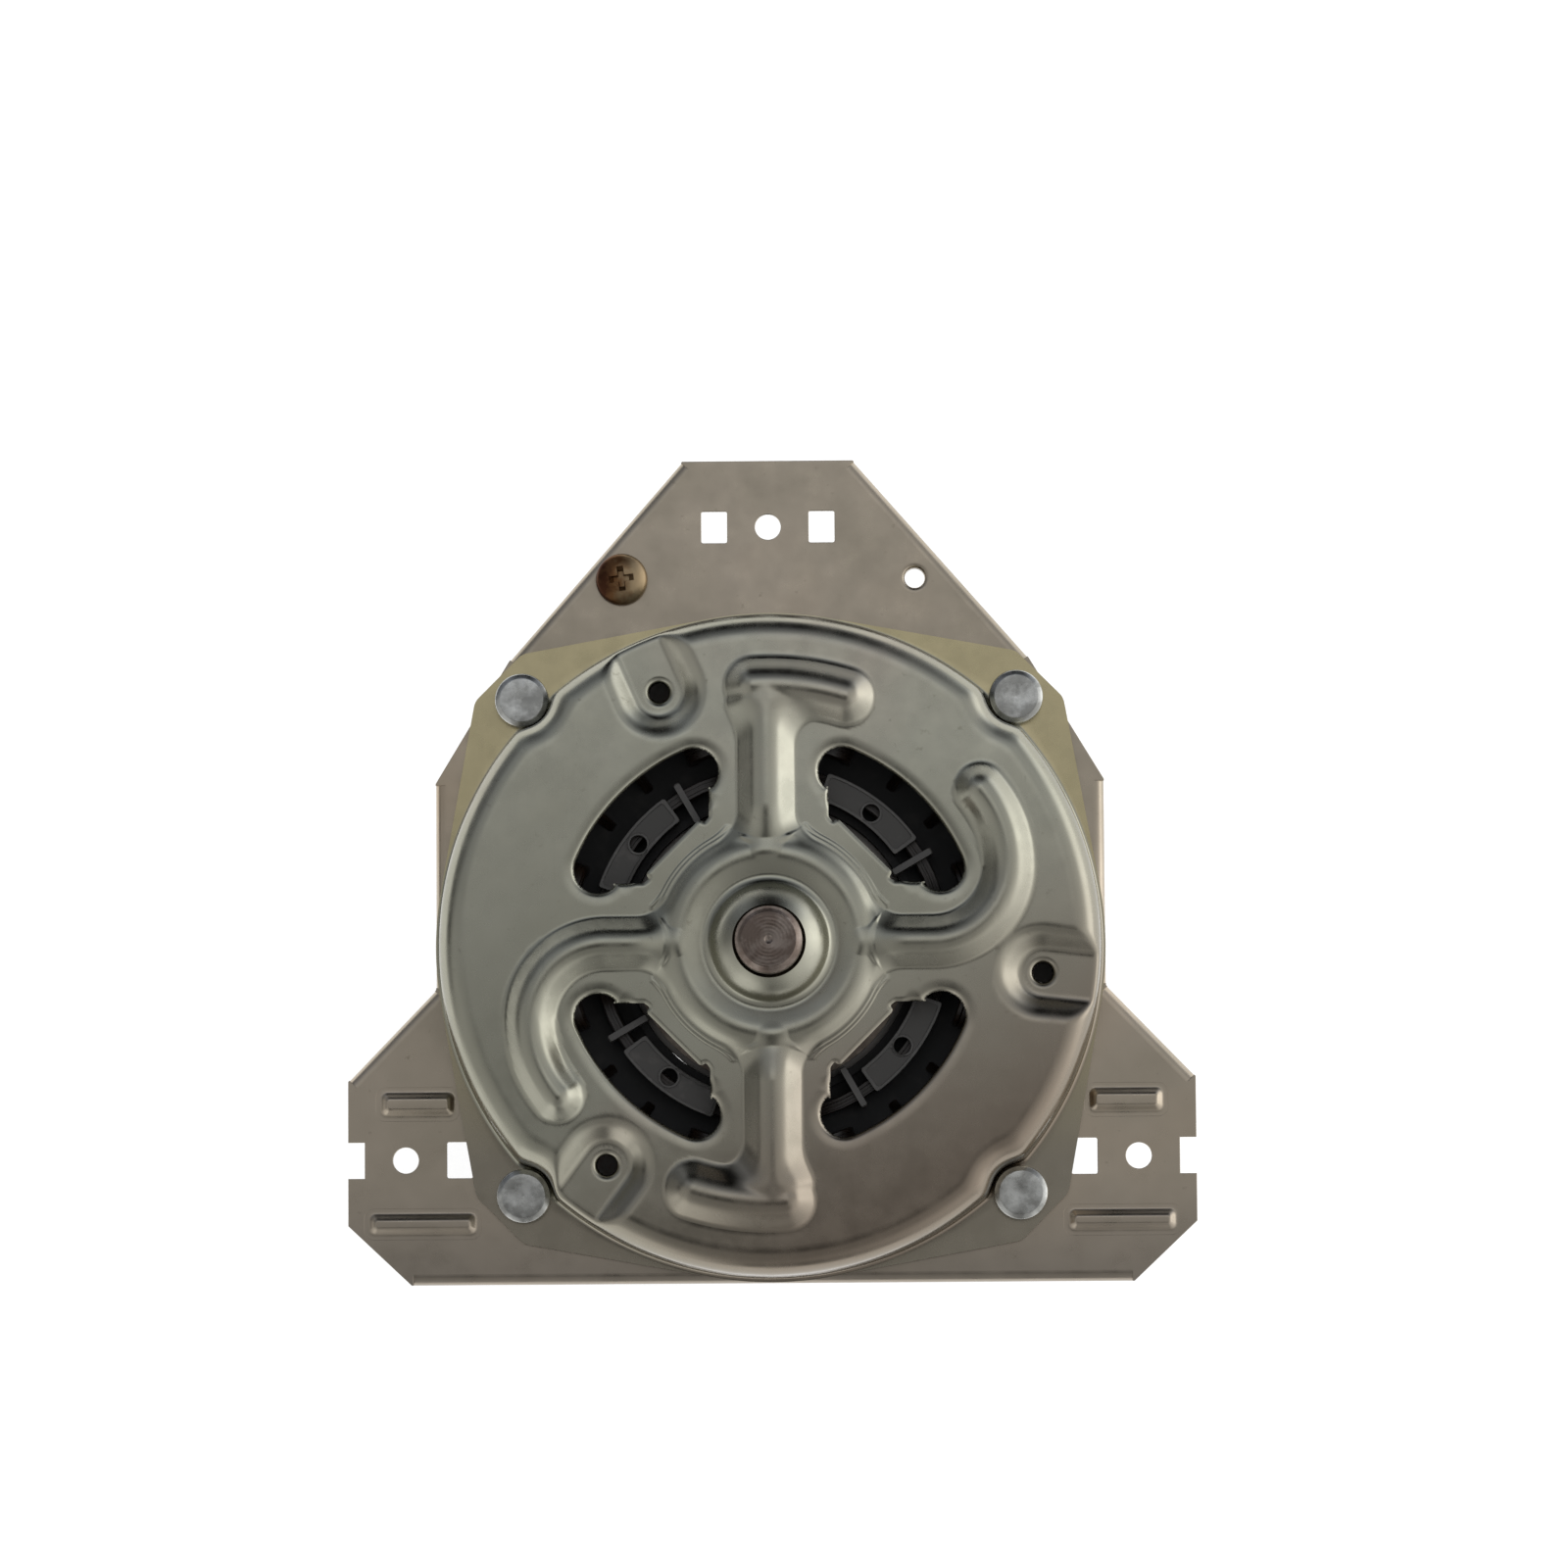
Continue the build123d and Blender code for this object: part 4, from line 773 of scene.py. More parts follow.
def hub_profile(ledge_share=1.0):
    """Height of the hub against the radius, with a share of the ledge round its foot."""
    flank = math.tan(math.radians(HUB_FLANK_ANGLE))
    slope = math.tan(math.radians(HUB_DISH_ANGLE))
    axis_height = HUB_CREASE_HEIGHT - HUB_CREASE_RADIUS * slope
    rim = (HUB_FOOT_RADIUS + flank * (DOME_RISE - axis_height)) / (1 + flank * slope)
    centre = HUB_CREASE_HEIGHT - math.sqrt(BUSH_SEAT_RADIUS**2 - HUB_CREASE_RADIUS**2)
    seat = [HUB_CREASE_RADIUS, *np.linspace(BUSH_SEAT_OUTER, HOLE_RADIUS - 1, 11)]
    points = [(PROFILE_END, DOME_RISE)]
    points += [(HUB_FOOT_RADIUS + run, DOME_RISE + rise * ledge_share) for run, rise in HUB_LEDGE]
    step = HUB_LEDGE[-1][1] * ledge_share
    points += [(HUB_FOOT_RADIUS - step * flank, DOME_RISE + step), (rim, axis_height + slope * rim)]
    points += [(r, centre + math.sqrt(BUSH_SEAT_RADIUS**2 - r * r)) for r in seat]
    radii = [LEDGE_ROUNDING] * len(HUB_LEDGE) + [HUB_FOOT_ROUNDING, HUB_RIM_RADIUS, HUB_CREASE_FILLET]
    return rounded(points, radii + [0] * (len(seat) - 2), 5)


def dimple_profile():
    """Height of the dimple's bowl against the distance from its middle."""
    slope = DIMPLE_DEPTH / (DIMPLE_TOP_RADIUS - DIMPLE_FLOOR_RADIUS)
    rise = slope * (PROFILE_END - DIMPLE_FLOOR_RADIUS)
    points = [(-1, DIMPLE_FLOOR), (DIMPLE_FLOOR_RADIUS, DIMPLE_FLOOR), (PROFILE_END, DIMPLE_FLOOR + rise)]
    return rounded(points, [DIMPLE_ROUNDING], 6)


def distance_to_run(x, y, start, end):
    """Distance from points to a straight run."""
    dx, dy = end[0] - start[0], end[1] - start[1]
    share = np.clip(((x - start[0]) * dx + (y - start[1]) * dy) / (dx * dx + dy * dy), 0, 1)
    return np.hypot(x - start[0] - share * dx, y - start[1] - share * dy)


def distance_to_arc(x, y, centre, radius, start, sweep):
    """Distance from points to an arc between two angles."""
    px, py = x - centre[0], y - centre[1]
    angle = (np.degrees(np.arctan2(py, px)) - start) % 360
    ends = [polar(radius, start), polar(radius, start + sweep)]
    off_arc = np.minimum(*[np.hypot(px - ex, py - ey) for ex, ey in ends])
    return np.where(angle <= sweep, np.abs(np.hypot(px, py) - radius), off_arc)


def rib_fields(x, y):
    """Distances to the centre lines of the wide and the slim ribs, filleted in plan."""
    bend = (HOOK_STRAIGHT, HOOK_BEND_RADIUS)
    curl = (HOOK_STRAIGHT + HOOK_BEND_RADIUS - HOOK_CURL_RADIUS, HOOK_BEND_RADIUS)
    fillet = RIB_FILLET * (1 - ease(BAR_RADIUS - 4, BAR_RADIUS, np.hypot(x, y)))
    wide, slim = [], []
    for px, py in ((x, y), (-x, -y)):
        bar = distance_to_run(px, py, (RIB_OFFSET, RIB_START_RADIUS), (RIB_OFFSET, BAR_RADIUS))
        arc = distance_to_arc(px, py, (0, 0), BAR_RADIUS, BAR_START_ANGLE, BAR_SWEEP)
        wide.append(smooth_least(bar, arc, fillet))
        slim.append(distance_to_run(px, py, (RIB_START_RADIUS, 0), (HOOK_STRAIGHT, 0)))
        slim.append(distance_to_arc(px, py, bend, HOOK_BEND_RADIUS, -90, 90))
        slim.append(distance_to_arc(px, py, curl, HOOK_CURL_RADIUS, 0, HOOK_CURL_SWEEP))
    return np.min(wide, axis=0), np.min(slim, axis=0)


def crown_height(x, y):
    """Height of the crown with its hub and ribs, their feet joined by fillets."""
    radius = np.hypot(x, y)
    wide, slim = rib_fields(x, y)
    rib_foot = np.minimum(wide - RIB_WIDTH / 2, slim - HOOK_WIDTH / 2)
    hub_foot = radius - HUB_FOOT_RADIUS
    gain = np.minimum(rib_foot, hub_foot) - smooth_least(rib_foot, hub_foot, HUB_FILLET)
    gain *= ease(*FILLET_ZONE, radius)
    plain = along(hub_profile(0.0), radius - gain)
    hub = plain + ease(*LEDGE_ZONE, rib_foot) * (along(hub_profile(), radius - gain) - plain)
    arch = np.maximum(along(arch_profile(RIB_WIDTH, RIB_TOP_RADIUS), wide - gain),
                      along(arch_profile(HOOK_WIDTH, HOOK_TOP_RADIUS), slim - gain))
    share = RIB_ROOT_SHARE + (1 - RIB_ROOT_SHARE) * ease(*RIB_ROOT_ZONE, radius)
    arch *= ease(*RIB_START_ZONE, radius) * share
    both = ease(*BLEND_ZONE, np.minimum(arch, np.maximum(hub - DOME_RISE, 0)))
    return -smooth_least(-hub, -DOME_RISE - arch, HUB_RIB_BLEND * both)


def dome_depth(x, y):
    """Distance inward from the dome's foot, round the bolts too."""
    half = BOLT_PITCH / 2
    bolt = np.hypot(np.abs(x) - half, np.abs(y) - half) - SCALLOP_RADIUS
    return smooth_least(DOME_BASE_RADIUS - np.hypot(x, y), bolt, SCALLOP_BLEND)


def window_outline(step=4.0):
    """The kidney window of the first quarter as a fine polyline."""
    far = math.sqrt((WINDOW_OUTER_RADIUS - WINDOW_LOBE_RADIUS) ** 2 - WINDOW_LOBE_OFFSET**2)
    lobe_angle = math.degrees(math.atan2(far, WINDOW_LOBE_OFFSET))
    side_angle = math.degrees(math.acos((WINDOW_SIDE_OFFSET - WINDOW_LOBE_OFFSET) / WINDOW_LOBE_RADIUS))
    half = [polar(WINDOW_OUTER_RADIUS, a) for a in np.arange(45, lobe_angle, step / 3)]
    for a in np.arange(lobe_angle, 360 - side_angle, step * 2):
        x, y = polar(WINDOW_LOBE_RADIUS, a)
        half.append((WINDOW_LOBE_OFFSET + x, far + y))
    side = [(WINDOW_SIDE_OFFSET, 33), (WINDOW_SIDE_OFFSET, WINDOW_SIDE_END), WINDOW_NOTCH]
    half += rounded(side + [WINDOW_EDGE_END, WINDOW_EDGE_MIDDLE], [0.8, 0.4, 0.8], 20)
    return half + [(y, x) for x, y in reversed(half)][1:-1]


def signed_distance(x, y, outline):
    """Distance to a closed outline, negative inside it, and the nearest point on it."""
    best = np.full(x.shape, FAR_AWAY)
    near_x, near_y = np.zeros_like(x), np.zeros_like(y)
    inside = np.zeros(x.shape, dtype=bool)
    for (ax, ay), (bx, by) in zip(outline, outline[1:] + outline[:1]):
        dx, dy = bx - ax, by - ay
        size = dx * dx + dy * dy
        if size < 1e-9:
            continue
        share = np.clip(((x - ax) * dx + (y - ay) * dy) / size, 0, 1)
        qx, qy = ax + share * dx, ay + share * dy
        gap = np.hypot(x - qx, y - qy)
        closer = gap < best
        best, near_x, near_y = (np.where(closer, new, old)
                                for new, old in ((gap, best), (qx, near_x), (qy, near_y)))
        if ay != by:
            inside ^= ((ay > y) != (by > y)) & (x < dx * (y - ay) / dy + ax)
    return np.where(inside, -best, best), near_x, near_y


def cap_height(x, y, window):
    """Height of the pressed cap's outside over each point."""
    radius = np.hypot(x, y)
    height = along(dome_profile(), dome_depth(x, y)) + crown_height(x, y) - DOME_RISE
    out = np.clip((radius - CROWN_DROP_START) / (DOME_BASE_RADIUS - CROWN_DROP_START), 0, 1)
    height -= CROWN_DROP * out**2 * ease(CAP_SHEET, DOME_RISE, height)
    bowl = np.full(x.shape, FAR_AWAY)
    for turn in DIMPLE_ANGLES:
        reach = distance_to_run(x, y, polar(DIMPLE_RADIUS, turn), polar(DIMPLE_RADIUS + 30, turn))
        bowl = np.minimum(bowl, along(dimple_profile(), reach))
    height = smooth_least(height, bowl, DIMPLE_BLEND)
    outer_side = ease(*WINDOW_SIDE_ZONE, radius)
    slope = np.clip(1 - window / WINDOW_SLOPE_WIDTH, 0, 1)
    curl = np.clip(1 - window / WINDOW_CURL_WIDTH, 0, 1)
    curl_drop = WINDOW_INNER_CURL + (WINDOW_CURL_DROP - WINDOW_INNER_CURL) * outer_side
    return height - WINDOW_SLOPE_DROP * slope**2 * outer_side - curl_drop * curl**2


def flange_reach(angles):
    """Radius of the flange's outline along each ray, with an ear at each bolt."""
    distance = BOLT_PITCH / math.sqrt(2) + EAR_REACH
    corner = math.hypot(distance, EAR_HALF_WIDTH)
    turn = math.acos(FLANGE_RADIUS / corner) + math.atan2(EAR_HALF_WIDTH, distance)
    local = np.abs(angles % (math.pi / 2) - math.pi / 4)
    side = FLANGE_RADIUS / np.cos(np.minimum(local - turn, 0))
    return smooth_least(distance / np.cos(local), side, EAR_BLEND)


def cap_mesh():
    """Places of the cap's grid, and their distances to the windows and the screw holes."""
    angles = np.radians(np.arange(RAY_COUNT) * 360 / RAY_COUNT)[:, None]
    levels = {round(d, 3) for d, z in dome_profile() if -2 < d < 8} | {7.5, 6.8, 0.5}
    levels = np.array(sorted(levels, reverse=True))
    fine = np.linspace(58, 74, 321)
    depths = dome_depth(fine * np.cos(angles), fine * np.sin(angles))
    outer = np.array([np.interp(-levels, -depth, fine) for depth in depths])
    inner = np.concatenate([*(np.arange(*row) for row in CAP_ROWS), CAP_LAST_ROWS])
    middle = inner[-1] + np.linspace(0, 1, 18)[None, 1:] * (outer[:, :1] - 0.5 - inner[-1])
    flange = outer[:, -1:] + np.linspace(0, 1, 7)[None, 1:] * (flange_reach(angles) - outer[:, -1:])
    radii = np.concatenate([np.repeat(inner[None, :], RAY_COUNT, 0), middle, outer, flange], axis=1)
    x, y = radii * np.cos(angles), radii * np.sin(angles)
    window, wx, wy = signed_distance(np.abs(x), np.abs(y), window_outline())
    spots = [polar(DIMPLE_RADIUS, turn) for turn in DIMPLE_ANGLES]
    hole = np.min([np.hypot(x - sx, y - sy) for sx, sy in spots], axis=0) - HOLE_CUT_RADIUS
    return x, y, window, wx, wy, hole, spots


def cap_surface():
    """Snaps the grid to the cut edges and returns its vertices and quads."""
    x, y, window, wx, wy, hole, spots = cap_mesh()
    cut = np.minimum(window, hole)
    following = np.roll(np.arange(RAY_COUNT), -1)
    after = cut[following]
    kept = (cut[:, :-1] + cut[:, 1:] + after[:, :-1] + after[:, 1:]) / 4 > 0
    used = np.zeros(x.shape, dtype=bool)
    gone = np.zeros(x.shape, dtype=bool)
    for mask, target in ((kept, used), (~kept, gone)):
        target[:, :-1] |= mask
        target[:, 1:] |= mask
        target[following, :-1] |= mask
        target[following, 1:] |= mask
    edge = used & gone
    at_window = edge & (window < hole)
    x = np.where(at_window, np.sign(x) * wx, x)
    y = np.where(at_window, np.sign(y) * wy, y)
    for sx, sy in spots:
        reach = np.hypot(x - sx, y - sy)
        near = edge & ~at_window & (reach < DIMPLE_FUNNEL_RADIUS + 2)
        size = reach / HOLE_CUT_RADIUS
        x = np.where(near, sx + (x - sx) / size, x)
        y = np.where(near, sy + (y - sy) / size, y)
    z = cap_height(x, y, np.where(at_window, 0, window))
    index = np.arange(x.size).reshape(x.shape)
    after = index[following]
    quads = np.stack([index[:, :-1], index[:, 1:], after[:, 1:], after[:, :-1]], axis=-1)[kept]
    verts = np.stack([x.ravel(), y.ravel(), z.ravel()], axis=1)
    names, flat = np.unique(quads.ravel(), return_inverse=True)
    return verts[names], flat.reshape(-1, 4)


def funnel():
    """The rolled edge and collar of a dimple's screw hole."""
    high = DIMPLE_FLOOR + 0.02
    low = DIMPLE_FLOOR - DIMPLE_COLLAR_DEPTH
    under = DIMPLE_FLOOR - CAP_SHEET
    outside = DIMPLE_HOLE_RADIUS + DIMPLE_COLLAR_WALL
    points = [(DIMPLE_FUNNEL_RADIUS, high), (DIMPLE_HOLE_RADIUS, high), (DIMPLE_HOLE_RADIUS, low)]
    points += [(outside, low), (outside, under), (DIMPLE_FUNNEL_RADIUS, under)]
    return lathe(rounded(points, [1.3, 0.1, 0.1, 0.0], 12), 48)


def make_cap(name, node, verts, quads, matrix):
    """One end cap, its sheet given a thickness, with a collar in each dimple."""
    moved = [tuple(matrix @ Vector(vert)) for vert in verts]
    cap = link_object(name, make_mesh(name, moved, quads.tolist()))
    thicken(dress(cap, "cap", 60, node), CAP_SHEET)
    collars = Parts()
    for turn in DIMPLE_ANGLES:
        collars.add(*funnel(), matrix @ at(*polar(DIMPLE_RADIUS, turn)))
    collars.make(name + "_screw_collars", "cap", 40)


def make_caps():
    """Both end caps from the same pressing, the lower one with a hole for the lead grommet."""
    verts, quads = cap_surface()
    make_cap("upper_cap_pressing", "upper_end_cap", verts, quads, Matrix.Identity(4))
    hole = np.array((0, GROMMET_PLACE, CAP_SHEET + (DOME_RISE - CAP_SHEET) / 2))
    quads = quads[np.linalg.norm(verts[quads].mean(axis=1) - hole, axis=1) > GROMMET_HOLE_REACH]
    make_cap("lower_cap_pressing", "lower_end_cap", verts, quads, LOWER)


# Mounting plate


def plate_corners():
    """Right half of the plate's outline, from the top edge down to the bottom edge."""
    foot = MOUNT_SPACING / 2 + FOOT_REACH
    shoulder = BOLT_PITCH / 2
    return [(18.2, MOUNT_TOP + 14.15), (shoulder + 2.9, shoulder + 8.7), (71.0, 35.1), (71.0, -8.7),
            (foot, MOUNT_LOW + 16.7), (foot, MOUNT_LOW - 13.8), (foot - 13.4, MOUNT_LOW - 26.4)]


def plate_outline():
    """The whole outline with its notches, drawn in where bends start, and the lipped edges."""
    right = plate_corners()
    ring = [Vector(point) for point in right + [(-x, y) for x, y in reversed(right)]]
    outline, lips = [], []
    for index, start in enumerate(ring):
        end = ring[(index + 1) % len(ring)]
        outline.append(tuple(start))
        if index in LIPPED_EDGES:
            ahead = (end - start).normalized()
            inward = Vector((ahead.y, -ahead.x)) * LIP_BEND_RADIUS
            first = start + ahead * LIP_END_RELIEF
            second = end - ahead * LIP_END_RELIEF
            outline += [tuple(point) for point in (first, first + inward, second + inward, second)]
            lips.append((start, end))
        elif index in NOTCHED_EDGES:
            half = math.copysign(3.8, start.y - end.y)
            depth = math.copysign(MOUNT_SPACING / 2 + 8.7, start.x)
            outline += [(start.x, MOUNT_LOW + half), (depth, MOUNT_LOW + half)]
            outline += [(depth, MOUNT_LOW - half), (start.x, MOUNT_LOW - half)]
    return outline, lips


def bead_runs():
    """Centre line and half width of the four pressed beads."""
    runs = []
    for side in (-1, 1):
        for height, start, end, half in ((11.84, -7.8, 2.7, 2.6), (-13.46, 5.5, -12.7, 2.3)):
            ends = [(side * (MOUNT_SPACING / 2 + x), MOUNT_LOW + height) for x in (start, end)]
            runs.append((*ends, half))
    return runs


def bead_outline(start, end, half, inset):
    """A rounded rectangle round a run along X, drawn in by an inset."""
    x, y = (start[0] + end[0]) / 2, (start[1] + end[1]) / 2
    length = abs(end[0] - start[0]) / 2 + half - inset
    width = half - inset
    corner = max(0.01, min(BEAD_CORNER - 0.6 * inset, 0.98 * width))
    points = []
    for quarter, (across, up) in enumerate(((1, 1), (-1, 1), (-1, -1), (1, -1))):
        for step in range(7):
            dx, dy = polar(corner, 90 * quarter + 15 * step)
            points.append((x + across * (length - corner) + dx, y + up * (width - corner) + dy))
    return points


def filled_curve(name, outlines, low, high, key):
    """A flat sheet with holes and softly broken edges, from closed outlines."""
    curve = bpy.data.curves.new(name, "CURVE")
    curve.dimensions = "2D"
    curve.fill_mode = "BOTH"
    for outline in outlines:
        spline = curve.splines.new("POLY")
        spline.points.add(len(outline) - 1)
        for point, (x, y) in zip(spline.points, outline):
            point.co = (x * MM, y * MM, 0, 1)
        spline.use_cyclic_u = True
    curve.extrude = ((high - low) / 2 - SHEET_EDGE) * MM
    curve.bevel_depth = SHEET_EDGE * MM
    curve.bevel_resolution = 1
    curve.offset = -SHEET_EDGE * MM
    drawn = link_object(name + "_outline", curve)
    mesh = bpy.data.meshes.new_from_object(drawn.evaluated_get(bpy.context.evaluated_depsgraph_get()))
    bpy.data.objects.remove(drawn)
    mesh.transform(Matrix.Translation((0, 0, (high + low) / 2 * MM)))
    return dress(link_object(name, mesh), key, 25)


def plate_holes():
    """Every hole of the plate as an outline."""
    side = MOUNT_SPACING / 2
    holes = [circle_points(0, 0, PLATE_OPENING_RADIUS, 160)]
    for x, y in ((0, MOUNT_TOP), (-side, MOUNT_LOW), (side, MOUNT_LOW)):
        holes.append(circle_points(x, y, MOUNT_HOLE_RADIUS))
    for x in (-1, 1):
        for y in (-1, 1):
            holes.append(circle_points(x * BOLT_PITCH / 2, y * BOLT_PITCH / 2, BOLT_RADIUS + 0.3))
        holes.append(box_points(x * LUG_OFFSET, MOUNT_TOP, 5.5, 6.8, 0.4))
        holes.append(box_points(x * (side - LUG_OFFSET), MOUNT_LOW, 5.5, 7.6, 0.4))
    holes.append(circle_points(EARTH_PLACE[0], EARTH_PLACE[1], 3.2))
    holes.append(circle_points(-EARTH_PLACE[0], EARTH_PLACE[1], EARTH_BORE))
    return holes + [bead_outline(*run, -0.9) for run in bead_runs()]


def lip_bend(radius, angles):
    """Points of a lip's bend as (inward, height), by angles from the plate downward."""
    middle = LIP_BEND_RADIUS
    return [(middle - radius * math.sin(a), radius * math.cos(a) - middle) for a in np.radians(angles)]


def lip_section():
    """Section of a lip: along the plate inward, then round the bend and down."""
    start = LIP_BEND_RADIUS + 0.35
    top = [(start, 0.01)] + lip_bend(LIP_BEND_RADIUS, np.arange(0, 91, 10))
    low = [(0.0, -LIP_DEPTH + 0.2), (0.2, -LIP_DEPTH)]
    low += [(PLATE_SHEET - 0.2, -LIP_DEPTH), (PLATE_SHEET, -LIP_DEPTH + 0.2)]
    back = lip_bend(LIP_BEND_RADIUS - PLATE_SHEET, np.arange(90, -1, -15))
    return top + low + back + [(start, -PLATE_SHEET - 0.01)]


def make_lip(parts, start, end):
    """Adds one bent-down lip along an edge that runs clockwise."""
    start, end = Vector((*start, 0)), Vector((*end, 0))
    ahead = (end - start).normalized()
    inward = Vector((ahead.y, -ahead.x, 0))
    reach = (end - start).length - 2 * LIP_END_RELIEF
    loops = []
    for share in (0, 0.15, reach - 0.15, reach):
        shrink = 0.12 if share in (0, reach) else 0
        foot = start + ahead * (LIP_END_RELIEF + share)
        loop = []
        for across, height in lip_section():
            depth = height + (shrink if height < -LIP_DEPTH / 2 else 0)
            loop.append(tuple(foot + inward * across + Vector((0, 0, depth))))
        loops.append(loop)
    parts.add(*loft(loops, cap_ends=True))


def make_beads():
    """The pressed beads as fine sheets set into the plate."""
    parts = Parts()
    for start, end, half in bead_runs():
        loops = []
        for inset in [-0.95, -0.5] + [0.15 * step for step in range(-1, 13)] + [half - 0.02]:
            height = BEAD_HEIGHT * float(ease(-0.1, BEAD_FLANK, inset))
            loops.append([(x, y, height) for x, y in bead_outline(start, end, half, inset)])
        verts, faces = loft(loops)
        faces.append(list(range(len(verts) - len(loops[-1]), len(verts))))
        parts.add(verts, faces)
    thicken(parts.make("plate_beads", "plate", 60), PLATE_SHEET)


def make_plate():
    """The mounting plate with its lips, beads and earth hole collars."""
    outline, lips = plate_outline()
    outlines = [outline] + plate_holes()
    sheet = filled_curve("plate_pressing", outlines, -PLATE_SHEET, 0, "plate")
    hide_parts("mounting_plate")
    parts = Parts()
    for start, end in lips:
        make_lip(parts, start, end)
    parts.make("plate_lips", "plate", 40)
    make_beads()
    collars = Parts()
    x, y = EARTH_PLACE
    for place, bore, mouth in ((x, 2.15, 3.35), (-x, EARTH_BORE, EARTH_BORE + 1.1)):
        out = bore + 1.1
        points = [(mouth, 0.01), (bore, 0.01), (bore, -3.3), (out, -3.3), (out, -PLATE_SHEET)]
        collars.add(*lathe(rounded(points, [0.8, 0.1, 0.1], 15), 48), at(place, y))
    collars.make("plate_earth_collars", "plate", 40)


# Fasteners


def bolt_places():
    """The four bolts' places."""
    half = BOLT_PITCH / 2
    return [(x * half, y * half) for x in (-1, 1) for y in (-1, 1)]


def threaded_rod(radius, low, high, pitch, segments=36):
    """A rod whose surface is a real helical thread, tapered at its lower end."""
    rows = int((high - low) / pitch * 8)
    loops = []
    for z in (low + (high - low) * row / rows for row in range(rows + 1)):
        loop = []
        for i in range(segments):
            phase = (z / pitch - i / segments) % 1
            groove = THREAD_DEPTH * abs(2 * phase - 1) * min(1.0, (z - low) / 0.8)
            taper = max(0.0, 0.7 - (z - low))
            loop.append((*polar(radius - groove - taper, 360 * i / segments), z))
        loops.append(loop)
    return loft(loops, cap_ends=True)


def make_bolts():
    """Round-headed through bolts."""
    top = CAP_SHEET + BOLT_HEAD_HEIGHT
    low = CAP_SHEET + 0.02
    rod = BOLT_RADIUS - 0.05
    end = STACK_BOTTOM - CAP_SHEET - WASHER_THICKNESS - NUT_HEIGHT - BOLT_END_LENGTH
    start = end + THREAD_LENGTH
    head = [(0, top - 0.12), (2.6, top - 0.05), (4.6, top), (BOLT_HEAD_RADIUS, top - 0.55)]
    head += [(BOLT_HEAD_RADIUS, low), (rod, low), (rod, start)]
    profile = rounded(head, [0, 0.5, 0.6, 0.35, 0.2], 15) + [(0, start)]
    parts = Parts()
    for index, (x, y) in enumerate(bolt_places()):
        parts.add(*lathe(profile, 64), at(x, y, 0, 37 * index))
        parts.add(*threaded_rod(BOLT_RADIUS, end, start, THREAD_PITCH), at(x, y, 0, 20 * index))
    parts.make("through_bolts_detailed", "zinc", 30, "through_bolts")


def make_washers():
    """Split spring washers with a slight twist."""
    inner = BOLT_RADIUS + 0.4
    outer = WASHER_RADIUS - 0.1
    low = -WASHER_THICKNESS
    section = [(inner, low + 0.12), (outer, low + 0.12), (WASHER_RADIUS, low + 0.25)]
    section += [(WASHER_RADIUS, -0.25), (outer, -0.12), (inner, -0.12)]
    parts = Parts()
    for index, (x, y) in enumerate(bolt_places()):
        loops = []
        for share in (step / 48 for step in range(49)):
            top = STACK_BOTTOM - CAP_SHEET + 0.12 * (share - 0.5)
            loops.append([(*polar(r, 5 + 350 * share), top + z) for r, z in section])
        parts.add(*loft(loops, cap_ends=True), at(x, y, 0, 65 * index))
    parts.make("spring_washers_split", "spring", 30, "spring_washers")


def make_nuts(segments=72):
    """Hexagon nuts with chamfered corners."""
    high = STACK_BOTTOM - CAP_SHEET - WASHER_THICKNESS
    low = high - NUT_HEIGHT
    flat = NUT_ACROSS_FLATS / 2
    sections = []
    for angle in (360 * i / segments for i in range(segments)):
        reach = flat / math.cos(math.radians(angle % 60 - 30))
        fall = (reach - flat * 0.96) * math.tan(math.radians(30))
        rows = [(BOLT_RADIUS, low + 0.35), (BOLT_RADIUS + 0.35, low), (flat * 0.96, low)]
        rows += [(reach, low + fall), (reach, high - 0.35 * fall), (flat * 0.98, high)]
        sections.append([(*polar(r, angle), z) for r, z in rows])
    nut = loft(list(zip(*sections)))
    parts = Parts()
    for x, y in bolt_places():
        parts.add(*nut, at(x, y))
    parts.make("hex_nuts_chamfered", "zinc", 28, "hex_nuts")


def make_earth_screw():
    """Pan-head screw with a tapered cross recess."""
    x, y = -EARTH_PLACE[0], EARTH_PLACE[1]
    parts = Parts()
    parts.add(*lathe(rounded(SCREW_CORNERS, [4, 1.6, 0.25, 0.1, 0.5], 12), 64), at(x, y))
    screw = parts.make("earth_screw_head", "screw", 35, "earth_screw")
    slot = []
    for z, length, width in RECESS_LEVELS:
        slot.append([(*point, z) for point in box_points(0, 0, length, width)])
    verts, faces = loft(slot, cap_ends=True)
    for turn in (45, 135):
        place = at(x, y, 0, turn - RECESS_TURN)
        cut_from(screw, [tuple(place @ Vector(vert)) for vert in verts], faces)


# Rotor shaft


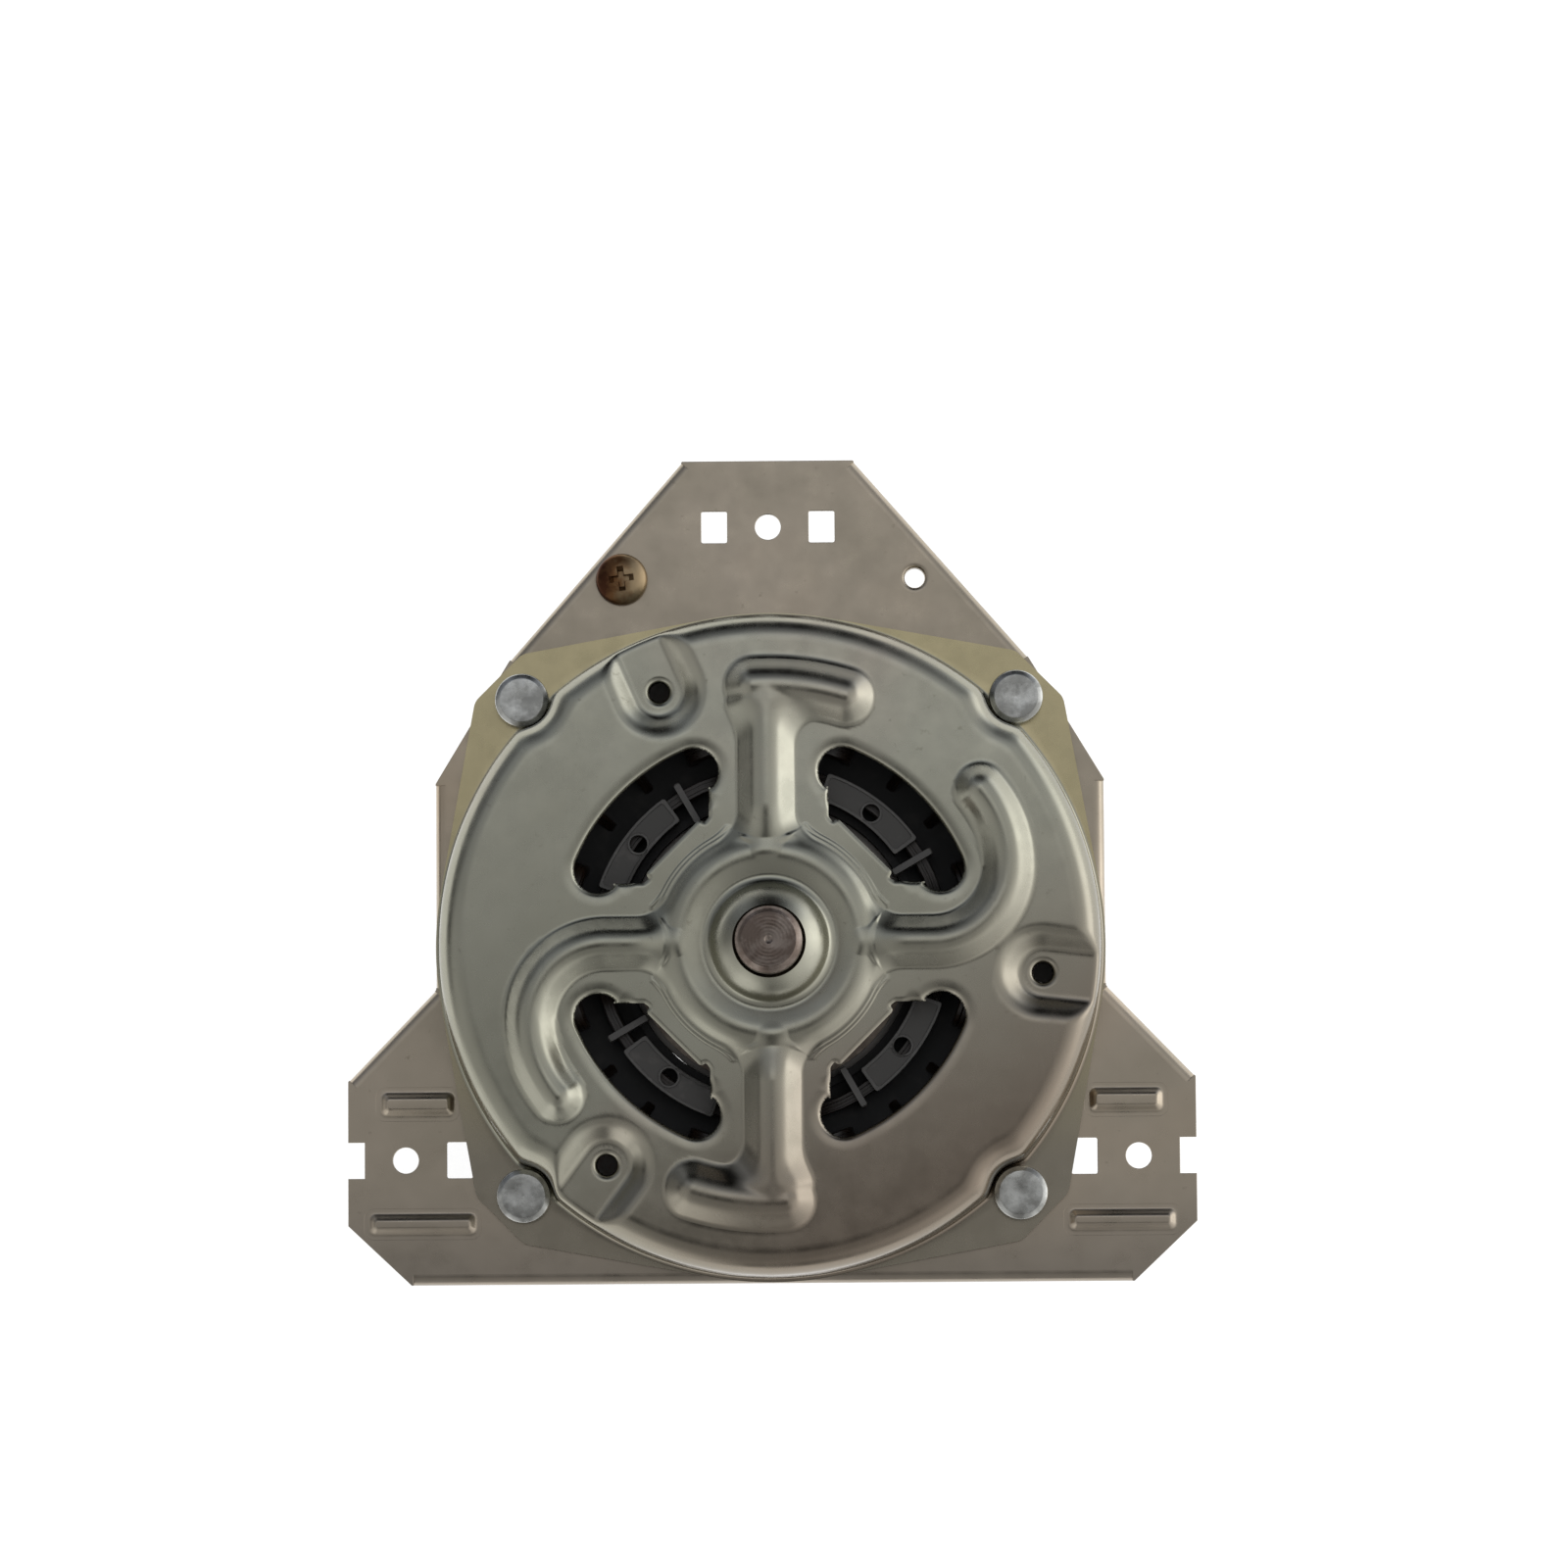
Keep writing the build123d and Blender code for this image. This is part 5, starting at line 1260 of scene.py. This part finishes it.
def make_shaft():
    """The shaft, its upper end with a chamfer and a centre hole, and a flat at the drive end."""
    top, shoulder, bottom = SHAFT_TOP, SHAFT_SHOULDER, SHAFT_BOTTOM
    bearing, seat, seat_low, seat_high = JOURNAL_RADIUS, CORE_SEAT_RADIUS, *CORE_SEAT_ENDS
    points = [(0, top - 0.9), (0.9, top - 0.15), (1.5, top - 0.12), (5.7, top), (bearing, top - 1.1)]
    points += [(bearing, seat_high), (seat, seat_high), (seat, seat_low), (bearing, seat_low)]
    points.append((bearing, shoulder))
    points += [(DRIVE_RADIUS, shoulder), (DRIVE_RADIUS, bottom + 1.2), (4.8, bottom), (1.0, bottom)]
    radii = [0.1, 0.2, 0.35, 0.4, 0.2, 0.2, 0.2, 0.2, 0.3, 0.3, 0.4, 0.4, 0.2]
    parts = Parts()
    parts.add(*lathe(rounded(points + [(0, bottom + 0.9)], radii, 15), 96))
    shaft = parts.make("rotor_shaft_turned", "shaft", 30, "rotor_shaft", ROTOR)
    cut_from(shaft, *prism(box_points(0, DRIVE_FLAT + 5, 14, 10), bottom - 0.01, shoulder + 0.01))


# Insulators and windings


def sector_points(inner, outer, start, sweep, step=3.0, corner=0.6):
    """Outline of a ring sector with rounded corners."""
    count = max(2, round(sweep / step))
    angles = [start + sweep * i / count for i in range(count + 1)]
    points = [polar(outer, a) for a in angles] + [polar(inner, a) for a in reversed(angles)]
    radii = [corner if index % (count + 1) in (0, count) else 0.0 for index in range(len(points))]
    return rounded_loop(points, radii, 30)


def make_insulator(name, node, matrix):
    """Black end insulator: a wall round the bore, drilled pads with raised borders, and sticks."""
    parts = Parts()
    sticks = Parts()
    for inner, outer, high in ((WALL_INNER, WALL_OUTER, 4.0), (31.4, 54.0, 0.8)):
        parts.add(*lathe([(inner, 0.0), (outer, 0.0), (outer, high), (inner, high)], 120), matrix)
    for quarter in QUARTERS:
        place = matrix @ at(turn=quarter)
        for inner, outer in ((PAD_INNER + 0.1, PAD_INNER + 0.8), (PAD_OUTER - 0.8, PAD_OUTER - 0.1)):
            web = sector_points(inner, outer, 36.0 + quarter, 34.4, corner=0.2)
            parts.add(*prism(web, 0.8, 8.1), matrix)
        for angle, inner, outer, high in STICKS:
            bar = box_points((inner + outer) / 2, 0, outer - inner, 1.4, 0.3)
            sticks.add(*prism(bar, 2.0, high, 0.25), place @ at(turn=angle))
    parts.make(name, "plastic", 30, node)
    sticks.make(name + "_sticks", "borders", 30)
    pads, frames = [], []
    for turn in QUARTERS:
        hx, hy = polar(PAD_HOLE_PLACE[0], PAD_HOLE_PLACE[1] + turn)
        pads.append(sector_points(PAD_INNER, PAD_OUTER, 35.4 + turn, 35.6))
        pads.append(circle_points(hx, hy, PAD_HOLE, 32))
        frames += [sector_points(PAD_INNER + 0.02, PAD_OUTER - 0.02, 35.45 + turn, 35.5),
                   sector_points(PAD_INNER + 0.75, PAD_OUTER - 0.7, 36.8 + turn, 33.0)]
        frames += [circle_points(hx, hy, PAD_HOLE + more, 32) for more in (0.55, 0.03)]
    move = Matrix.Scale(MM, 4) @ matrix @ Matrix.Scale(1 / MM, 4)
    for key, outlines, low, high in (("pads", pads, 8.0, 9.1), ("borders", frames, 9.0, 9.5)):
        sheet = filled_curve(name + "_" + key, outlines, low, high, key)
        sheet.data.transform(move)
        sheet.data.update()


def coil_path(leg_radius, arc_radius, height, half_span):
    """The middle line of one wire round a coil, centred on the X axis, as (radius, angle, z)."""
    path = []
    bend = (leg_radius + arc_radius) / 2
    for side, start, end in ((-1, STACK_BOTTOM, STACK_TOP), (1, STACK_TOP, STACK_BOTTOM)):
        path += [(leg_radius, side * half_span, z) for z in np.linspace(start + side, end - side, 4)]
        path.append((bend, side * half_span, end - side * height * 0.55))
        for share in np.linspace(side, -side, 11):
            rise = height - 1.2 * abs(share) ** 6
            path.append((arc_radius, half_span * share * 0.94, end - side * rise))
        path.append((bend, -side * half_span, end - side * height * 0.55))
    return path


def wire_loop(path, turn, radius, sides=5):
    """A closed round wire along a path of (radius, angle, z)."""
    points = [Vector((*polar(r, a + turn), z)) for r, a, z in path]
    ring = circle_points(0, 0, radius, sides)
    loops = []
    for i, point in enumerate(points):
        tangent = (points[(i + 1) % len(points)] - points[i - 1]).normalized()
        outward = Vector((point.x, point.y, 0)).normalized()
        side = tangent.cross(outward).normalized()
        up = side.cross(tangent).normalized()
        loops.append([point + side * across + up * along_up for across, along_up in ring])
    return loft(loops, closed_path=True)


def make_windings(name, node, coils, wire):
    """Coils as bundles of separate wires round each pole."""
    randomness = random.Random(7)
    parts = Parts()
    for turn, legs, arcs, height, half_span, rows in coils:
        for row, column in ((row, column) for row in range(rows) for column in range(4)):
            u = (column + 0.5) / 4
            v = (row + 0.5) / rows
            leg = legs[0] + (legs[1] - legs[0]) * u
            arc = arcs[0] + 0.6 + (arcs[1] - arcs[0] - 1.2) * u + randomness.uniform(-0.2, 0.2)
            rise = 1.8 + (height - 2.6) * (0.25 + 0.75 * v) + randomness.uniform(-0.25, 0.25)
            span = half_span + (v - 0.5) * WIRE_SPREAD
            parts.add(*wire_loop(coil_path(leg, arc, rise, span), turn, wire))
    parts.make(name, "wire", 60, node)


def make_all_windings():
    """Two nested main coils and one auxiliary coil for each pole."""
    main, auxiliary = [], []
    for turn in QUARTERS:
        main += [(turn, *OUTER_COIL), (turn, *INNER_COIL)]
        auxiliary.append((turn + 45, *AUXILIARY_COIL))
    make_windings("main_winding_wires", "main_windings", main, MAIN_WIRE)
    make_windings("auxiliary_winding_wires", "auxiliary_windings", auxiliary, AUXILIARY_WIRE)


def make_felts():
    """Oil felt rings with soft edges."""
    section = rounded_loop(FELT_CORNERS, [0.8] * 4, 20)
    for side, matrix in (("upper", Matrix.Identity(4)), ("lower", LOWER)):
        parts = Parts()
        parts.add(*lathe(section, 72), matrix)
        parts.make(side + "_felt_ring", "felt", 50, side + "_oil_felt")


def make_grommet():
    """Rubber lead grommet with rolled flanges and a tapered nose."""
    draft = math.radians(DOME_DRAFT)
    middle = (DOME_RISE - CAP_SHEET) / 2
    radius = DOME_BASE_RADIUS - middle * math.tan(draft)
    profile = rounded_loop(GROMMET_CORNERS, GROMMET_ROUNDING, 25)
    tilt = Matrix.Rotation(math.pi / 2 - draft, 4, "Y")
    place = LOWER @ at(turn=90) @ Matrix.Translation((radius, 0, CAP_SHEET + middle)) @ tilt
    parts = Parts()
    parts.add(*lathe(profile, 48), place @ Matrix.Translation((0, 0, -CAP_SHEET / 2)))
    parts.make("lead_grommet_rubber", "rubber", 40, "lead_grommet")


def make_weld_seams():
    """A weld bead in the groove on each side of the stack."""
    randomness = random.Random(3)
    parts = Parts()
    for turn in QUARTERS:
        loops = []
        for step in range(65):
            z = STACK_BOTTOM + SEAM_START + SEAM_LENGTH * step / 64
            swell = SEAM_HALF_WIDTH + 0.12 * math.sin(step * 1.9) + randomness.uniform(-0.04, 0.04)
            loops.append([(SEAM_RADIUS + 0.75 * x, y, z) for x, y in circle_points(0, 0, swell, 14)])
        parts.add(*loft(loops, cap_ends=True), at(turn=turn))
    parts.make("stator_weld_seams", "spring", 60)


# Stage, lights and camera


def make_floor():
    """A pale floor that the camera sees as near white, with the motor's soft shadow."""
    height = CAD_BOX[0].z / MM - FLOOR_GAP
    corners = [(x, y, height) for x, y in box_points(0, 0, FLOOR_WIDTH, FLOOR_WIDTH)]
    floor = link_object("floor", make_mesh("floor", corners, [[0, 1, 2, 3]]))
    surface = Surface("pale_floor")
    surface.finish(FLOOR_COLOUR, 0.9)
    glow = surface.add("Emission", {"Color": (1, 1, 1), "Strength": FLOOR_GLOW}).outputs["Emission"]
    bsdf = surface.shader.outputs["BSDF"]
    both = surface.add("AddShader", {0: bsdf, 1: glow}).outputs["Shader"]
    camera_ray = surface.add("LightPath").outputs["Is Camera Ray"]
    seen = surface.math("MAXIMUM", camera_ray, surface.metal_sees())
    choice = surface.add("MixShader", {0: seen, 1: bsdf, 2: both}).outputs["Shader"]
    surface.put(surface.tree.nodes["Material Output"].inputs["Surface"], choice)
    floor.data.materials.append(surface.material)


def sky_lobe(sky, direction, azimuth, tilt, inner, outer, strength):
    """A soft bright or dark spot in the surroundings, by its azimuth and tilt from straight up."""
    x, y = polar(math.sin(math.radians(tilt)), azimuth)
    spot = sky.dot(direction, (x, y, math.cos(math.radians(tilt))))
    low, high = (math.cos(math.radians(angle)) for angle in (outer, inner))
    return sky.between(spot, low, high, 0.0, strength, "SMOOTHSTEP")


def make_world():
    """White behind the motor for the camera, a soft studio above it and a white horizon in its metal."""
    world = bpy.data.worlds.new("studio")
    bpy.context.scene.world = world
    world.use_nodes = True
    world.node_tree.nodes.clear()
    sky = Nodes(world.node_tree)
    direction = sky.add("TexCoord").outputs["Generated"]
    total = SKY_BASE
    for lobe in SKY_LOBES:
        total = sky.math("ADD", sky_lobe(sky, direction, *lobe), total)
    low, high = (math.cos(math.radians(angle)) for angle in (HORIZON_START, HORIZON_END))
    horizon = sky.between(sky.dot(direction, (0, 0, 1)), low, high)
    horizon = sky.math("MULTIPLY", sky.metal_sees(), horizon)
    tone = sky.mix(sky_lobe(sky, direction, *SKY_BLUE_LOBE), WHITE, SKY_BLUE)
    tone = sky.mix(horizon, tone, WHITE)
    around = sky.add("Background", {"Color": tone, "Strength": sky.math("MAXIMUM", total, horizon)})
    white = sky.add("Background", {"Color": WHITE, "Strength": 1.0})
    camera_ray = sky.add("LightPath").outputs["Is Camera Ray"]
    choice = sky.add("MixShader", {0: camera_ray, 1: around.outputs[0], 2: white.outputs[0]})
    sky.add("OutputWorld", {"Surface": choice.outputs[0]})


def make_light(name, azimuth, tilt, size, energy):
    """A soft square light aimed at the motor and hidden from metal, which mirrors the world instead."""
    data = bpy.data.lights.new(name, "AREA")
    data.energy = energy
    data.size = size
    light = link_object(name, data)
    x, y = polar(LIGHT_DISTANCE * math.sin(math.radians(tilt)), azimuth)
    light.location = (x, y, LIGHT_DISTANCE * math.cos(math.radians(tilt)))
    light.rotation_euler = (-light.location).to_track_quat("-Z", "Y").to_euler()
    light.visible_glossy = False


def make_camera():
    """The photograph's camera, straight above with a slight tilt."""
    camera = link_object("camera", bpy.data.cameras.new("camera"))
    place = Matrix.Translation(Vector(CAMERA_AIM) * MM)
    for angle, axis in ((-CAMERA_AZIMUTH, "Z"), (90 - CAMERA_ELEVATION, "X"), (CAMERA_ROLL, "Z")):
        place = place @ Matrix.Rotation(math.radians(angle), 4, axis)
    camera.matrix_world = place @ Matrix.Translation((0, 0, CAMERA_DISTANCE * MM))
    camera.data.sensor_width = SENSOR_WIDTH
    camera.data.lens = CAMERA_FOCAL_PIXELS * SENSOR_WIDTH / IMAGE_SIZE
    camera.data.clip_start = 0.05
    camera.data.clip_end = 50
    bpy.context.scene.camera = camera


dress_cad_nodes()
make_caps()
make_plate()
make_bolts()
make_washers()
make_nuts()
make_earth_screw()
make_shaft()
make_insulator("upper_insulator_moulding", "upper_slot_insulator", at(z=STACK_TOP))
make_insulator("lower_insulator_moulding", "lower_slot_insulator", LOWER)
make_all_windings()
make_felts()
make_grommet()
make_weld_seams()
make_floor()
make_world()
make_light("soft_right", 7, 68, 1.1, 4.0)
make_light("soft_left", 240, 70, 0.9, 2.0)
make_light("soft_overhead", 60, 8, 1.2, 11.0)
make_camera()
bpy.context.scene.view_settings.view_transform = "Standard"
